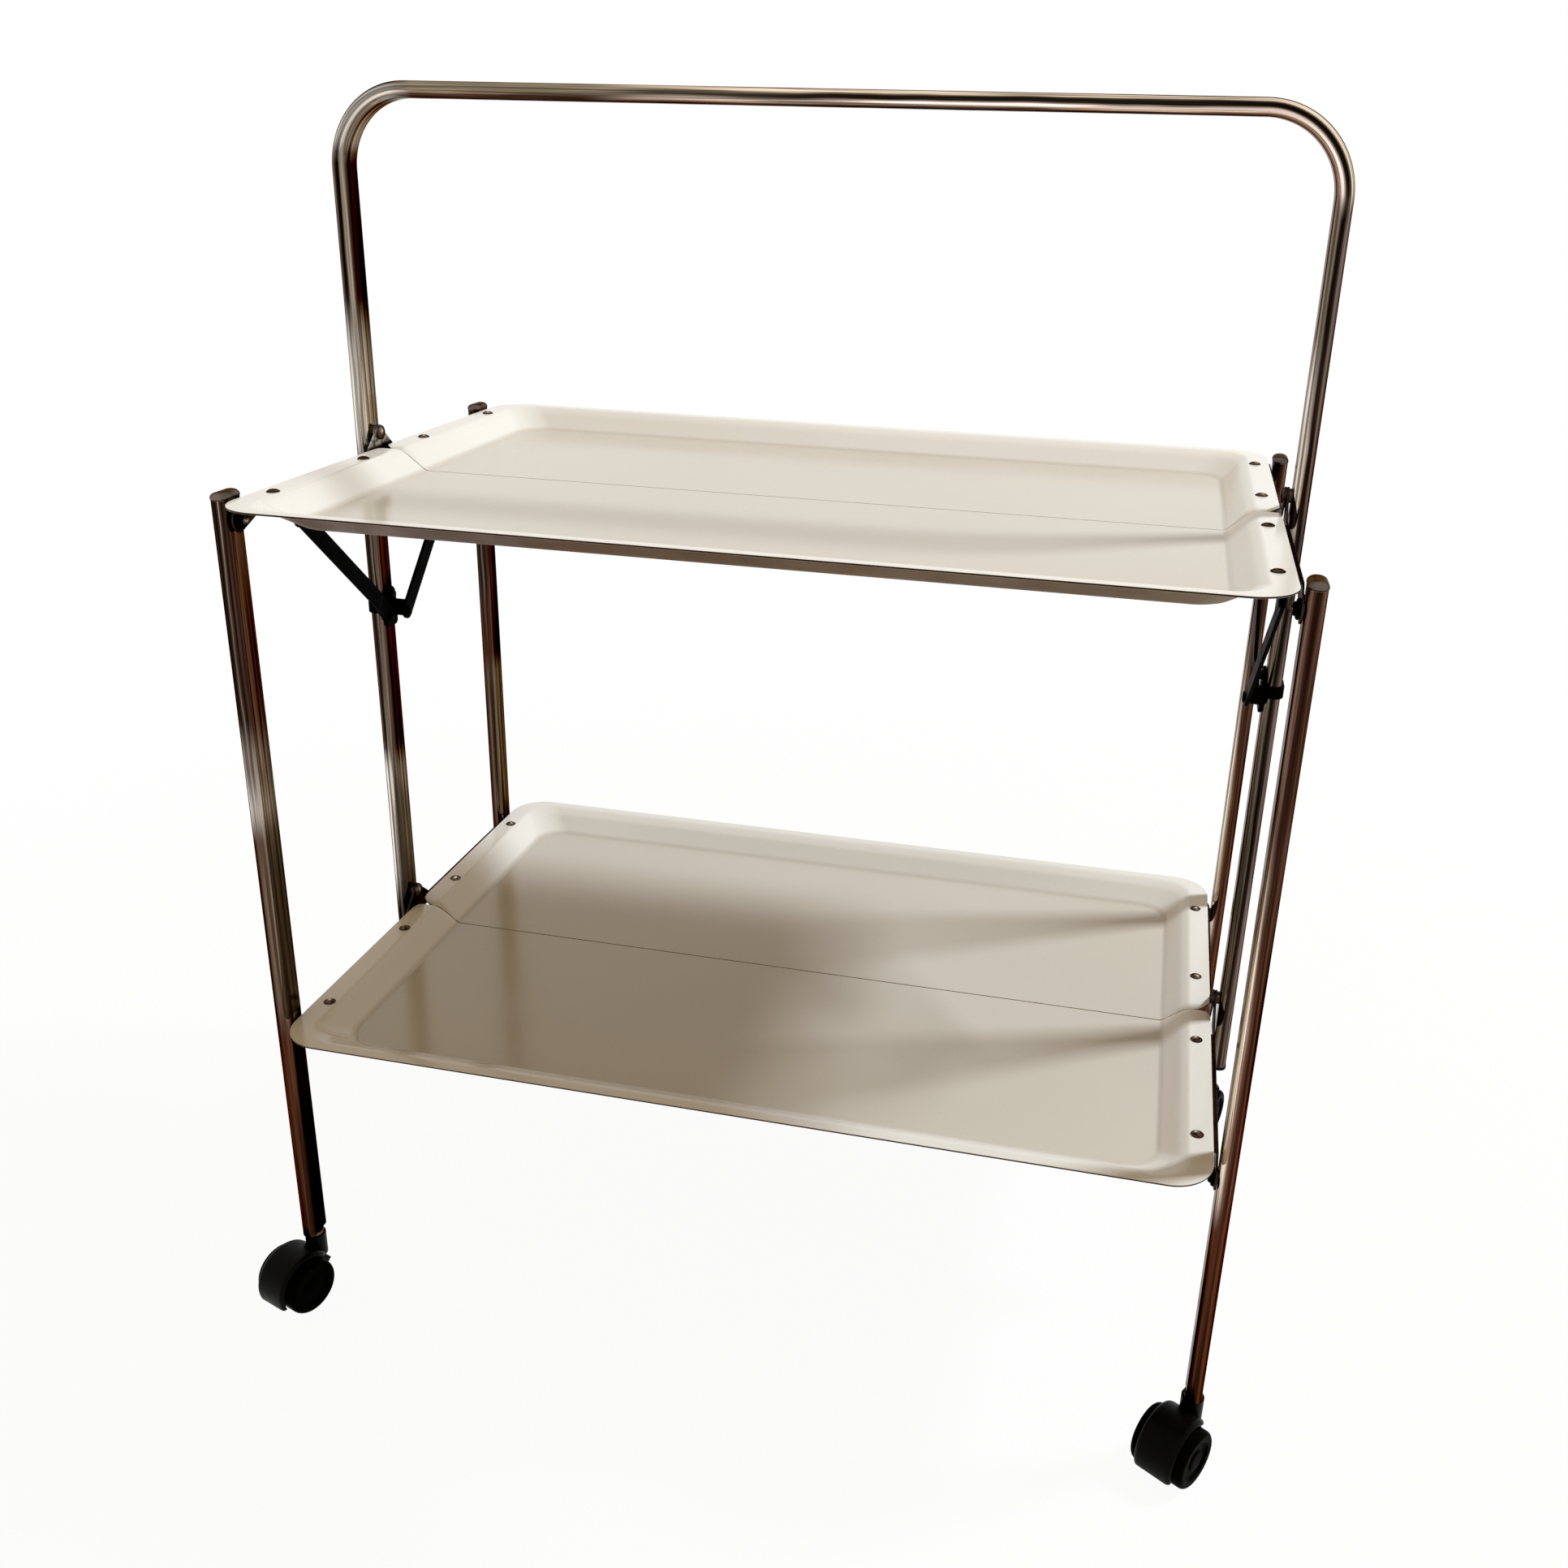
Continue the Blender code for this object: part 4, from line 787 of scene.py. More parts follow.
# The underside's colours, apart from its stains, are painted shade: deep at the left, lighter at the right
# and near black at the cut edge.
UNDERSIDE_DEEP_SHADE = (0.17, 0.085, 0.045)
UNDERSIDE_LIGHT_SHADE = (0.38, 0.29, 0.21)
UNDERSIDE_STAIN = (0.12, 0.06, 0.032)
UNDERSIDE_EDGE_SHADE = (0.014, 0.007, 0.004)

# Metal colours, as shares of light: the plain, the shaded and the worn tone of each.
CAP_TONES = ((0.165, 0.134, 0.110), (0.082, 0.064, 0.051), (0.36, 0.31, 0.26))
BRACKET_TONES = ((0.040, 0.027, 0.019), (0.014, 0.008, 0.005), (0.16, 0.125, 0.095))
STEEL_TONES = ((0.12, 0.09, 0.07), (0.04, 0.028, 0.020), (0.50, 0.43, 0.37))
# Painted reflection on the left hinge lugs above the upper tray.
EAR_REFLECTION = (0.44, 0.41, 0.37)
GRIME = (0.03, 0.02, 0.013)
GRIME_SHARE = 0.5

# Painted reflections: bands of light and shadow round a tube's section, as screen colours: its outward side
# is at 0, its front or rear end at 0.5 and its inward side at 1.
DULL_REFLECTION_BANDS = (
    (0.00, (84, 68, 54)), (0.14, (128, 114, 94)), (0.26, (160, 145, 122)), (0.52, (152, 136, 112)),
    (0.60, (108, 88, 70)), (0.68, (62, 42, 32)), (0.84, (70, 48, 38)), (1.00, (48, 30, 22)),
)
BRIGHT_REFLECTION_BANDS = (
    (0.00, (84, 66, 52)), (0.09, (120, 100, 84)), (0.16, (208, 188, 166)), (0.29, (190, 172, 150)),
    (0.35, (74, 62, 50)), (0.40, (26, 20, 14)), (0.50, (34, 27, 20)), (0.555, (146, 126, 114)),
    (0.60, (230, 210, 200)), (0.72, (218, 194, 184)), (0.79, (112, 82, 70)), (0.90, (92, 64, 52)),
    (1.00, (48, 28, 18)),
)
UPRIGHT_REFLECTION_BANDS = (
    (0.00, (152, 130, 114)), (0.10, (134, 115, 106)), (0.32, (108, 90, 82)), (0.42, (52, 40, 32)),
    (0.47, (18, 12, 8)), (0.55, (18, 12, 8)), (0.62, (104, 95, 80)), (0.74, (136, 120, 102)),
    (0.86, (96, 80, 66)), (0.93, (52, 31, 21)), (1.00, (46, 26, 16)),
)
PALE_REFLECTION_BANDS = (
    (0.00, (70, 45, 35)), (0.20, (60, 38, 28)), (0.27, (178, 168, 156)), (0.40, (226, 220, 210)),
    (0.49, (150, 140, 128)), (0.58, (206, 199, 188)), (0.70, (132, 122, 110)), (0.84, (190, 182, 170)),
    (1.00, (150, 136, 118)),
)
PALE_RIGHT_REFLECTION_BANDS = (
    (0.00, (120, 95, 80)), (0.32, (104, 80, 66)), (0.42, (40, 24, 18)), (0.50, (24, 14, 10)),
    (0.56, (140, 124, 112)), (0.64, (222, 211, 201)), (1.00, (232, 224, 214)),
)
LEG_BROWN_REFLECTION_BANDS = (
    (0.00, (50, 26, 15)), (0.14, (76, 44, 28)), (0.40, (70, 39, 24)), (0.60, (58, 31, 19)),
    (0.80, (74, 43, 27)), (1.00, (40, 20, 12)),
)
LEG_LEFT_REFLECTION_BANDS = (
    (0.00, (66, 58, 46)), (0.38, (52, 46, 38)), (0.46, (18, 10, 6)), (0.53, (60, 48, 40)),
    (0.585, (130, 114, 100)), (0.63, (52, 36, 28)), (0.70, (20, 10, 6)), (0.80, (60, 40, 31)),
    (0.90, (80, 56, 45)), (1.00, (72, 50, 40)),
)
LEG_MIDDLE_REFLECTION_BANDS = (
    (0.00, (70, 46, 34)), (0.30, (60, 34, 24)), (0.45, (84, 64, 50)), (0.60, (104, 88, 72)),
    (0.70, (60, 44, 34)), (0.82, (112, 102, 86)), (1.00, (108, 96, 80)),
)
LEG_UPPER_RIGHT_REFLECTION_BANDS = (
    (0.00, (124, 104, 92)), (0.18, (112, 90, 78)), (0.30, (68, 44, 33)), (0.45, (46, 26, 17)),
    (0.60, (56, 34, 24)), (0.75, (98, 76, 64)), (1.00, (108, 90, 78)),
)
LEG_RIGHT_HIGHLIGHT_BANDS = (
    (0.00, (64, 36, 24)), (0.30, (88, 52, 36)), (0.45, (66, 38, 26)), (0.55, (84, 54, 40)),
    (0.62, (136, 112, 95)), (0.70, (204, 187, 169)), (0.80, (218, 203, 186)), (1.00, (190, 170, 150)),
)

# Rings of painted highlight and shade on a domed head, by their distance from its painted highlight as a
# share of its radius.
DOME_HIGHLIGHT_LEFT = 0.18
DOME_HIGHLIGHT_UP = 0.26
DOME_HIGHLIGHT_RINGS = (
    (0.00, (236, 226, 212)), (0.16, (214, 202, 186)), (0.30, (150, 134, 118)), (0.50, (102, 88, 76)),
    (0.78, (72, 57, 47)), (0.94, (96, 80, 68)), (1.00, (60, 46, 36)),
)

# Weights of the bright, upright, pale and dull painted reflection bands along the frame from its left foot to
# its right foot, and of the upper, middle and pale painted reflection bands from the floor to a leg's top.
FRAME_REFLECTION_ZONES = (
    (0.020, (0, 0, 0, 0)), (0.040, (0, 0, 0.9, 0)), (0.082, (0, 0, 0.8, 0)), (0.096, (0, 0.5, 0, 0)),
    (0.205, (0, 0.2, 0, 0)), (0.222, (0, 0, 1, 0)), (0.250, (0, 0.2, 0.8, 0)), (0.272, (0, 1, 0, 0)),
    (0.318, (0, 1, 0, 0)), (0.326, (0.2, 0, 0.75, 0)), (0.350, (0.2, 0, 0.75, 0)), (0.360, (0, 0, 0, 1)),
    (0.420, (0, 0, 0, 1)), (0.450, (0.75, 0, 0, 1)), (0.510, (1, 0, 0, 1)), (0.682, (1, 0, 0, 1)),
    (0.692, (0, 1, 0, 0)), (0.722, (0, 1, 0, 0)), (0.750, (0, 0.3, 0.7, 0)), (0.780, (0, 0, 0.8, 0)),
    (0.795, (0, 0.4, 0, 0)), (0.870, (0, 0.7, 0, 0)), (0.970, (0, 0.7, 0, 0)),
)
LEG_REFLECTION_ZONES = (
    (0.364, (0, 0, 0)), (0.428, (0, 0.9, 0)), (0.618, (0, 0.8, 0)),
    (0.661, (0.1, 0, 0.8)), (0.714, (0.5, 0, 0.3)), (0.767, (1, 0, 0)),
)

FRAME_STRAIGHT = FRAME_TOP - FRAME_BEND_RADIUS - FRAME_FOOT
FRAME_ARC = math.pi / 2 * FRAME_BEND_RADIUS
FRAME_REACH = FRAME_X - FRAME_BEND_RADIUS
FRAME_PATH = 2 * (FRAME_STRAIGHT + FRAME_ARC + FRAME_REACH)

# Each finish: its slot in the part's record, and its materials.
FINISHES = {
    "ivory_enamel": ("ivory_enamel", (enamel(), enamel_underside())),
    "chrome_frame": ("chrome_tube", (chrome("chrome_frame", frame_reflection_plan),)),
    "chrome_leg": ("chrome_tube", (chrome("chrome_leg", leg_reflection_plan),)),
    "chrome_pin": ("chrome_pin", (domed_metal(),)),
    "chrome_cap": ("chrome_cap", (metal("chrome_cap", *CAP_TONES, 0.16),)),
    "plated_bracket": ("plated_bracket", (metal("plated_bracket", *BRACKET_TONES, 0.26, EAR_REFLECTION),)),
    "castor_steel": ("castor_steel", (metal("castor_steel", *STEEL_TONES, 0.18),)),
    "black_steel": ("black_steel", (black_paint(),)),
    "black_plastic": ("black_plastic", (black_plastic("black_plastic", 0.06),)),
    "black_wheel": ("black_plastic", (black_plastic("black_wheel", 0.004),)),
}


# Trays


def slope_drop(share):
    """Share of the pan's depth at a share of the slope's run, with rounded folds."""

    def broken(at):
        if at <= 0.0:
            return 0.0
        for (run, drop), (next_run, next_drop) in zip(SLOPE_SHARES, SLOPE_SHARES[1:]):
            if at <= next_run:
                return drop + (next_drop - drop) * (at - run) / (next_run - run)
        return 1.0

    samples = 16
    total = 0.0
    for sample in range(samples + 1):
        total += broken(share + FOLD_SHARE * (2 * sample / samples - 1))
    return total / (samples + 1)


def tray_lines():
    """Half length, half width, corner radius, seam corner share and drop of each line of the sheet."""
    lines = []
    first = -FOLD_SHARE
    for step in range(FLANGE_STEPS + 1):
        share = step / FLANGE_STEPS
        length = TRAY_HALF_LENGTH - share * (END_FLANGE + first * END_SLOPE)
        width = TRAY_HALF_WIDTH - share * (SIDE_FLANGE + first * SIDE_SLOPE)
        radius = OUTER_CORNER_RADIUS + share * (INNER_CORNER_RADIUS - OUTER_CORNER_RADIUS)
        lines.append((length, width, radius, 1 - share, 0.0))
    for step in range(1, FOLD_STEPS + 1):
        share = first + (1 - 2 * first) * step / FOLD_STEPS
        length = TRAY_HALF_LENGTH - END_FLANGE - share * END_SLOPE
        width = TRAY_HALF_WIDTH - SIDE_FLANGE - share * SIDE_SLOPE
        lines.append((length, width, INNER_CORNER_RADIUS, 0.0, slope_drop(share)))
    return lines


def tray_line(half_length, half_width, corner_radius, seam_share, drop):
    """Points of one line of the front half, from its left end at the seam round to its right end."""
    left = []
    for distance in SEAM_DISTANCES:
        rise = 1 - distance / SEAM_CORNER_RADIUS
        x = -half_length + SEAM_CORNER_RADIUS * seam_share * (1 - math.sqrt(max(0.0, 1 - rise * rise)))
        roll = SEAM_ROLL_DROP * max(0.0, 1 - distance / SEAM_ROLL_WIDTH) ** 2 * (1 - drop)
        left.append((x, -SEAM_HALF_GAP - distance, -drop * PAN_DEPTH - roll))
    for step in range(TRAY_CORNER_STEPS + 1):
        angle = math.pi / 2 * step / TRAY_CORNER_STEPS
        x = -half_length + corner_radius * (1 - math.cos(angle))
        y = -half_width + corner_radius * (1 - math.sin(angle))
        left.append((x, y, -drop * PAN_DEPTH))
    return left + [(-x, y, z) for x, y, z in reversed(left)]


def front_half_tray():
    """Front half of a tray with its rim's top at height zero. Its underside has the second material."""
    solid = bmesh.new()
    skins = []
    for under in (0, 1):
        rows = []
        for line in tray_lines():
            rows.append([solid.verts.new((x, y, z - under * SHEET)) for x, y, z in tray_line(*line)])
        faces = []
        for outer, inner in zip(rows, rows[1:]):
            for index in range(len(outer) - 1):
                corners = (outer[index], outer[index + 1], inner[index + 1], inner[index])
                faces.append(solid.faces.new(corners))
        faces.append(solid.faces.new(rows[-1]))
        for face in faces:
            face.material_index = under
        skins.append(rows)
    top, bottom = skins
    for index in range(len(top[0]) - 1):
        wall = solid.faces.new((top[0][index], top[0][index + 1], bottom[0][index + 1], bottom[0][index]))
        wall.material_index = 1
    for column in (0, -1):
        for row in range(len(top) - 1):
            corners = (top[row][column], top[row + 1][column], bottom[row + 1][column], bottom[row][column])
            solid.faces.new(corners).material_index = 1
    ends = (top[-1][0], top[-1][-1], bottom[-1][-1], bottom[-1][0])
    solid.faces.new(ends).material_index = 1
    bmesh.ops.recalc_face_normals(solid, faces=solid.faces)
    rims = []
    for edge in solid.edges:
        if len(edge.link_faces) == 2 and edge.calc_face_angle(0.0) > math.radians(60):
            rims.append(edge)
    bmesh.ops.bevel(
        solid, geom=rims, offset=TRAY_EDGE_ROUNDING, offset_type="OFFSET", segments=3,
        profile=0.5, affect="EDGES", clamp_overlap=True, material=0,
    )
    return solid


def tray_rivet():
    """Domed rivet with a thin rim, from its head above the flange to its tail under the bracket."""
    tail = -SHEET - GAP - BRACKET_SHEET
    profile = [(radius, tail - below) for radius, below in RIVET_TAIL] + list(RIVET_RIM)
    profile += dome(0.0034, 0.0006, 0.0011, 6)
    return turned(profile, 28)


def bracket_outline(has_strut_tab):
    """Side view of a front bracket's plate, in Y and Z from the tray's rim: ear, strip, lug and strut tab."""
    strip_top = -SHEET - GAP
    strip_foot = strip_top - BRACKET_DEPTH
    outline = arc((0, HINGE_ABOVE_RIM), EAR_RADIUS, -40, 150, 14)
    outline.append((-0.021, strip_top))
    outline.append((-LEG_Y + 0.0090, strip_top))
    outline += arc((-LEG_Y, -LEG_PIN_BELOW_RIM), LUG_RADIUS, 75, 270, 16)
    outline.append((-LEG_Y + 0.029, strip_foot))
    if has_strut_tab:
        outline.append((-STRUT_TOP_Y - 0.0110, strip_foot))
        outline += arc((-STRUT_TOP_Y, -STRUT_TOP_BELOW_RIM), STRUT_TAB_RADIUS, 180, 360, 14)
        outline.append((-STRUT_TOP_Y + 0.0110, strip_foot))
    outline.append((-EAR_RADIUS, strip_foot))
    return outline


def front_bracket(plate_x, has_strut_tab):
    """Angle bracket of a front half at the left end. Its plate starts at plate_x."""
    leg_top = -SHEET - GAP
    plate = prism(bracket_outline(has_strut_tab), -plate_x - BRACKET_SHEET, -plate_x, "X")
    low = (-plate_x - BRACKET_SHEET / 2, -BRACKET_LEG_YS[1], leg_top - BRACKET_SHEET)
    high = (-BRACKET_LEG_X, -BRACKET_LEG_YS[0], leg_top)
    return softened(combined(plate, box(low, high), "UNION"), 0.0003)


def pin(plate_inner_x, plate_outer_x, tube_face_x, centre_x):
    """Left-end pin along X, from its domed head inside the plates to its tip in the tube."""
    head = [(radius, -plate_inner_x + height) for radius, height in dome(PIN_HEAD_RADIUS, 0.0008, 0.0013, 6)]
    profile = list(reversed(head))
    profile += [(PIN_HEAD_RADIUS, -plate_inner_x + GAP), (PIN_RADIUS, -plate_inner_x + GAP)]
    collar_start = -plate_outer_x - 0.0001
    collar_end = -tube_face_x + 0.0001
    if collar_start > collar_end:
        profile += [(PIN_RADIUS, collar_start), (PIN_COLLAR_RADIUS, collar_start)]
        profile += [(PIN_COLLAR_RADIUS, collar_end), (PIN_RADIUS, collar_end)]
    profile.append((PIN_RADIUS, -centre_x))
    return turned(profile, 28, "X")


def mark(mesh, name, locate):
    """Write three numbers for each point of a mesh as an attribute."""
    layer = mesh.attributes.new(name, "FLOAT_VECTOR", "POINT")
    for index, vertex in enumerate(mesh.vertices):
        layer.data[index].vector = locate(vertex.co)


def across_pin(point):
    """Sideways and upward offset from a pin's axis, as shares of its head's radius."""
    return (point.y / PIN_HEAD_RADIUS, point.z / PIN_HEAD_RADIUS, 0.0)


def leg_pin(plate_x):
    """Left leg's pin along X, from its small tip in the cap nut to its other tip in the tube."""
    tip = -plate_x + LEG_NUT_HEIGHT
    profile = list(reversed(dome(LEG_NUT_TIP_RADIUS, tip + 0.0001, 0.0009, 5, 0.2)))
    profile += [(LEG_NUT_TIP_RADIUS, tip - 0.0004), (PIN_RADIUS, tip - 0.0008)]
    collar_start = -plate_x - BRACKET_SHEET - 0.0001
    collar_end = -LEG_INNER_FACE + 0.0001
    if collar_start > collar_end:
        profile += [(PIN_RADIUS, collar_start), (PIN_COLLAR_RADIUS, collar_start)]
        profile += [(PIN_COLLAR_RADIUS, collar_end), (PIN_RADIUS, collar_end)]
    profile.append((PIN_RADIUS, -LEG_X))
    return turned(profile, 28, "X")


def leg_nut(plate_x):
    """Black cap nut on a left leg's pin, inside the bracket's plate, with a rounded rim and a step."""
    foot = -plate_x + GAP
    top = -plate_x + LEG_NUT_HEIGHT - 0.0003
    inner = LEG_NUT_RADIUS - 0.0019
    profile = [(PIN_RADIUS + GAP, top), (LEG_NUT_TIP_RADIUS + 0.0009, top)]
    profile += [(LEG_NUT_TIP_RADIUS + 0.0015, top - 0.0003)]
    profile += [(inner - 0.0003, top - 0.0009), (inner, top - 0.0014)]
    for rise, fall in rounded(6):
        profile.append((inner + 0.0019 * rise, foot + 0.0006 + 0.0014 * (1 - fall)))
    profile += [(LEG_NUT_RADIUS, foot + 0.0003), (LEG_NUT_RADIUS - 0.0003, foot), (PIN_RADIUS + GAP, foot)]
    return bored(profile, 32, "X")


def make_trays():
    """The tray halves with their brackets, rivets and pins."""
    half = made_mesh("tray_half", front_half_tray())
    mark(half, "pan", lambda point: (min(max(-point.z / PAN_DEPTH, 0.0), 1.0), 0.0, 0.0))
    rivet = made_mesh("tray_rivet", tray_rivet())
    mark(rivet, "dome", lambda point: (point.x / RIVET_RADIUS, point.y / RIVET_RADIUS, 0.0))
    centre_pin = pin(INNER_PLATE_X, OUTER_PLATE_X + BRACKET_SHEET, FRAME_INNER_FACE, FRAME_X)
    centre_pin = made_mesh("centre_pin", centre_pin)
    mark(centre_pin, "dome", across_pin)
    for level, rim in RIMS.items():
        has_tab = level == "upper"
        inner = made_mesh("bracket_inner", front_bracket(INNER_PLATE_X, has_tab))
        outer = made_mesh("bracket_outer", mirrored_front_to_rear(front_bracket(OUTER_PLATE_X, has_tab)))
        sides = (("front", "left", "right", HERE), ("rear", "right", "left", HALF_TURN))
        for side, near_end, far_end, turn in sides:
            body = f"{level}_{side}"
            at = Matrix.Translation((0, 0, rim)) @ turn
            piece(f"pan_{body}", half, "ivory_enamel", body, [f"tray_{body}"], at)
            near_node = f"bracket_{body}_{near_end}"
            far_node = f"bracket_{body}_{far_end}"
            piece(f"angle_{body}_{near_end}", inner, "plated_bracket", body, [near_node], at)
            piece(f"angle_{body}_{far_end}", outer, "plated_bracket", body, [far_node], at @ HALF_TURN)
            for node, sign, end in ((near_node, -1, near_end), (far_node, 1, far_end)):
                for index, y in enumerate(RIVET_YS):
                    spot = at @ Matrix.Translation((sign * RIVET_X, -y, 0))
                    piece(f"tray_rivet_{body}_{end}_{index + 1}", rivet, "chrome_pin", body, [node], spot)
        for end, turn in (("left", HERE), ("right", HALF_TURN)):
            at = Matrix.Translation((0, 0, rim + HINGE_ABOVE_RIM)) @ turn
            nodes = [f"hinge_pin_{level}_{end}"]
            piece(f"centre_pin_{level}_{end}", centre_pin, "chrome_pin", "centre_frame", nodes, at)


# Tubes


def in_section(outward):
    """Share of the way round a tube's section, from its outward side to its inward side."""
    return math.acos(min(max(outward / TUBE_END_RADIUS, -1.0), 1.0)) / math.pi


def leg_tube():
    """A left leg's tube, with its centreline on the Z axis and the spare hole in its outer face."""
    rings = []
    for height, inset in ((LEG_FOOT, 0.0004), (LEG_FOOT + 0.0003, 0.0), (LEG_TOP, 0.0)):
        section = stadium(TUBE_THICKNESS - inset * 2, TUBE_DEPTH - inset * 2)
        rings.append([(x, y, height) for x, y in section])
    start = TUBE_END_RADIUS - 0.0030
    hole = drill(SPARE_HOLE_RADIUS, start, TUBE_END_RADIUS + OVERRUN, "X", (0, 0, SPARE_HOLE_HEIGHT))
    return combined(loft(rings), hole, "DIFFERENCE")


def frame_tube():
    """The centre frame's bent tube."""
    rings = []
    section = stadium(TUBE_THICKNESS, TUBE_DEPTH)
    bend_x = FRAME_X - FRAME_BEND_RADIUS
    bend_z = FRAME_TOP - FRAME_BEND_RADIUS
    path = [(-FRAME_X, FRAME_FOOT, 180.0)]
    for side, start, end in ((-1, 180.0, 90.0), (1, 90.0, 0.0)):
        for step in range(FRAME_BEND_STEPS + 1):
            degrees = start + (end - start) * step / FRAME_BEND_STEPS
            angle = math.radians(degrees)
            x = side * bend_x + FRAME_BEND_RADIUS * math.cos(angle)
            path.append((x, bend_z + FRAME_BEND_RADIUS * math.sin(angle), degrees))
    path.append((FRAME_X, FRAME_FOOT, 0.0))
    for x, z, degrees in path:
        angle = math.radians(degrees)
        rings.append([(x + math.cos(angle) * out, deep, z + math.sin(angle) * out) for out, deep in section])
    return loft(rings)


def in_frame(point):
    """Turn round the section, forward offset and length from the left foot, of a point on the frame."""
    beside = abs(point.x) - FRAME_REACH
    above = point.z - FRAME_FOOT - FRAME_STRAIGHT
    if above <= 0:
        outward = abs(point.x) - FRAME_X
        along = point.z - FRAME_FOOT
    elif beside <= 0:
        outward = point.z - FRAME_TOP
        along = FRAME_STRAIGHT + FRAME_ARC + FRAME_REACH - abs(point.x)
    else:
        outward = math.hypot(beside, above) - FRAME_BEND_RADIUS
        along = FRAME_STRAIGHT + FRAME_BEND_RADIUS * math.atan2(above, beside)
    if point.x > 0:
        along = FRAME_PATH - along
    return (in_section(outward), -point.y, along)


def in_leg(point):
    """Turn round the section, forward offset and height of a point on a leg."""
    middle = math.copysign(LEG_Y, point.y)
    return (in_section(abs(point.x) - LEG_X), middle - point.y, point.z)


def leg_cap():
    """Domed cap on a leg, from its foot at height zero."""
    rings = []
    wide_t = TUBE_THICKNESS + CAP_OVERHANG * 2
    wide_d = TUBE_DEPTH + CAP_OVERHANG * 2
    for height, inset in ((0.0, 0.0003), (0.0003, 0.0), (CAP_SKIRT, 0.0)):
        rings.append([(x, y, height) for x, y in stadium(wide_t - inset * 2, wide_d - inset * 2)])
    for rise, fall in rounded(7)[1:]:
        inset = CAP_SHOULDER * fall
        height = CAP_SKIRT + CAP_CROWN * rise
        rings.append([(x, y, height) for x, y in stadium(wide_t - inset * 2, wide_d - inset * 2)])
    return loft(rings)


def foot_plug():
    """Plastic plug under a foot of the centre frame, with a thin lip."""
    rings = []
    for height, over in PLUG_RINGS:
        section = stadium(TUBE_THICKNESS + over * 2, TUBE_DEPTH + over * 2)
        rings.append([(x, y, height) for x, y in section])
    return loft(rings)


def make_tubes():
    """The centre frame, and the legs with their caps and pins."""
    tube = made_mesh("frame_tube", frame_tube())
    tube = piece("frame_tube", tube, "chrome_frame", "centre_frame", ["handle_frame"])
    mark(tube.data, "section", in_frame)
    plug = made_mesh("foot_plug", foot_plug())
    for end, x in (("left", -FRAME_X), ("right", FRAME_X)):
        spot = Matrix.Translation((x, 0, FRAME_FOOT))
        piece(f"foot_plug_{end}", plug, "black_plastic", "centre_frame", [f"frame_plug_{end}"], spot)
    leg = made_mesh("leg_tube", leg_tube())
    cap = made_mesh("leg_cap", leg_cap())
    pins = {}
    nuts = {}
    for key, plate_x in (("inner", INNER_PLATE_X), ("outer", OUTER_PLATE_X)):
        nuts[key] = made_mesh(f"leg_nut_{key}", leg_nut(plate_x))
        pins[key] = made_mesh(f"leg_pin_{key}", leg_pin(plate_x))
        mark(pins[key], "dome", across_pin)
    for side, y in (("front", -LEG_Y), ("rear", LEG_Y)):
        body = f"{side}_legs"
        for end, x, turn in (("left", -LEG_X, HERE), ("right", LEG_X, HALF_TURN)):
            corner = f"{side}_{end}"
            spot = Matrix.Translation((x, y, 0)) @ (HALF_TURN if end == "left" else HERE)
            tube = piece(f"tube_{corner}", leg, "chrome_leg", body, [f"leg_{corner}"], spot)
            mark(tube.data, "section", in_leg)
            cap_spot = Matrix.Translation((x, y, LEG_TOP + GAP))
            piece(f"cap_{corner}", cap, "chrome_cap", body, [f"leg_cap_{corner}"], cap_spot)
            key = "inner" if corner in ("front_left", "rear_right") else "outer"
            for level, rim in RIMS.items():
                at = Matrix.Translation((0, y, rim - LEG_PIN_BELOW_RIM)) @ turn
                piece(f"leg_pin_{corner}_{level}", pins[key], "chrome_pin", body, [f"leg_{corner}"], at)
                piece(f"leg_nut_{corner}_{level}", nuts[key], "black_wheel", body, [f"leg_{corner}"], at)


# Struts and runners


def flat_strut():
    """Left-end strut bar along Z from its foot pin at the origin, with rounded edges."""
    outline = arc((0, 0), STRUT_HALF_WIDTH, 180, 360, 18)
    outline += arc((0, STRUT_LENGTH), STRUT_HALF_WIDTH, 0, 180, 18)
    half = STRUT_THICKNESS / 2
    return softened(prism(outline, -half, half, "X"), 0.0005, 3)


def near_strut():
    """Left-end strut whose foot lies on the runner. It steps out to it between two soft bends."""
    bar = flat_strut()
    reach = STRUT_STEP_END - STRUT_STEP_START
    for step in range(13):
        parts = bar.verts[:] + bar.edges[:] + bar.faces[:]
        level = STRUT_STEP_START + reach * step / 12
        bmesh.ops.bisect_plane(bar, geom=parts, plane_co=(0, 0, level), plane_no=(0, 0, 1))
    for vertex in bar.verts:
        share = min(max((vertex.co.z - STRUT_STEP_START) / reach, 0.0), 1.0)
        share = share * share * (3 - 2 * share)
        vertex.co.x -= NEAR_FOOT_X + (STRUT_TOP_X - NEAR_FOOT_X) * share
    return bar


def far_strut():
    """Left-end strut whose foot stands off the runner. It leans in over its whole length."""
    bar = flat_strut()
    for vertex in bar.verts:
        vertex.co.x -= FAR_FOOT_X + (STRUT_TOP_X - FAR_FOOT_X) * vertex.co.z / STRUT_LENGTH
    return bar


def strut_rivet():
    """Domed rivet at a strut's upper eye, in the strut's frame."""
    inner_face = -STRUT_TOP_X + STRUT_THICKNESS / 2
    profile = [(0.0022, -INNER_PLATE_X + GAP), (0.0022, -STRUT_TOP_X), (0.0044, -STRUT_TOP_X)]
    profile += [(0.0045, inner_face)] + dome(0.0045, inner_face + 0.0004, 0.0011)
    return moved(turned(profile, 24, "X"), (0, 0, STRUT_LENGTH))


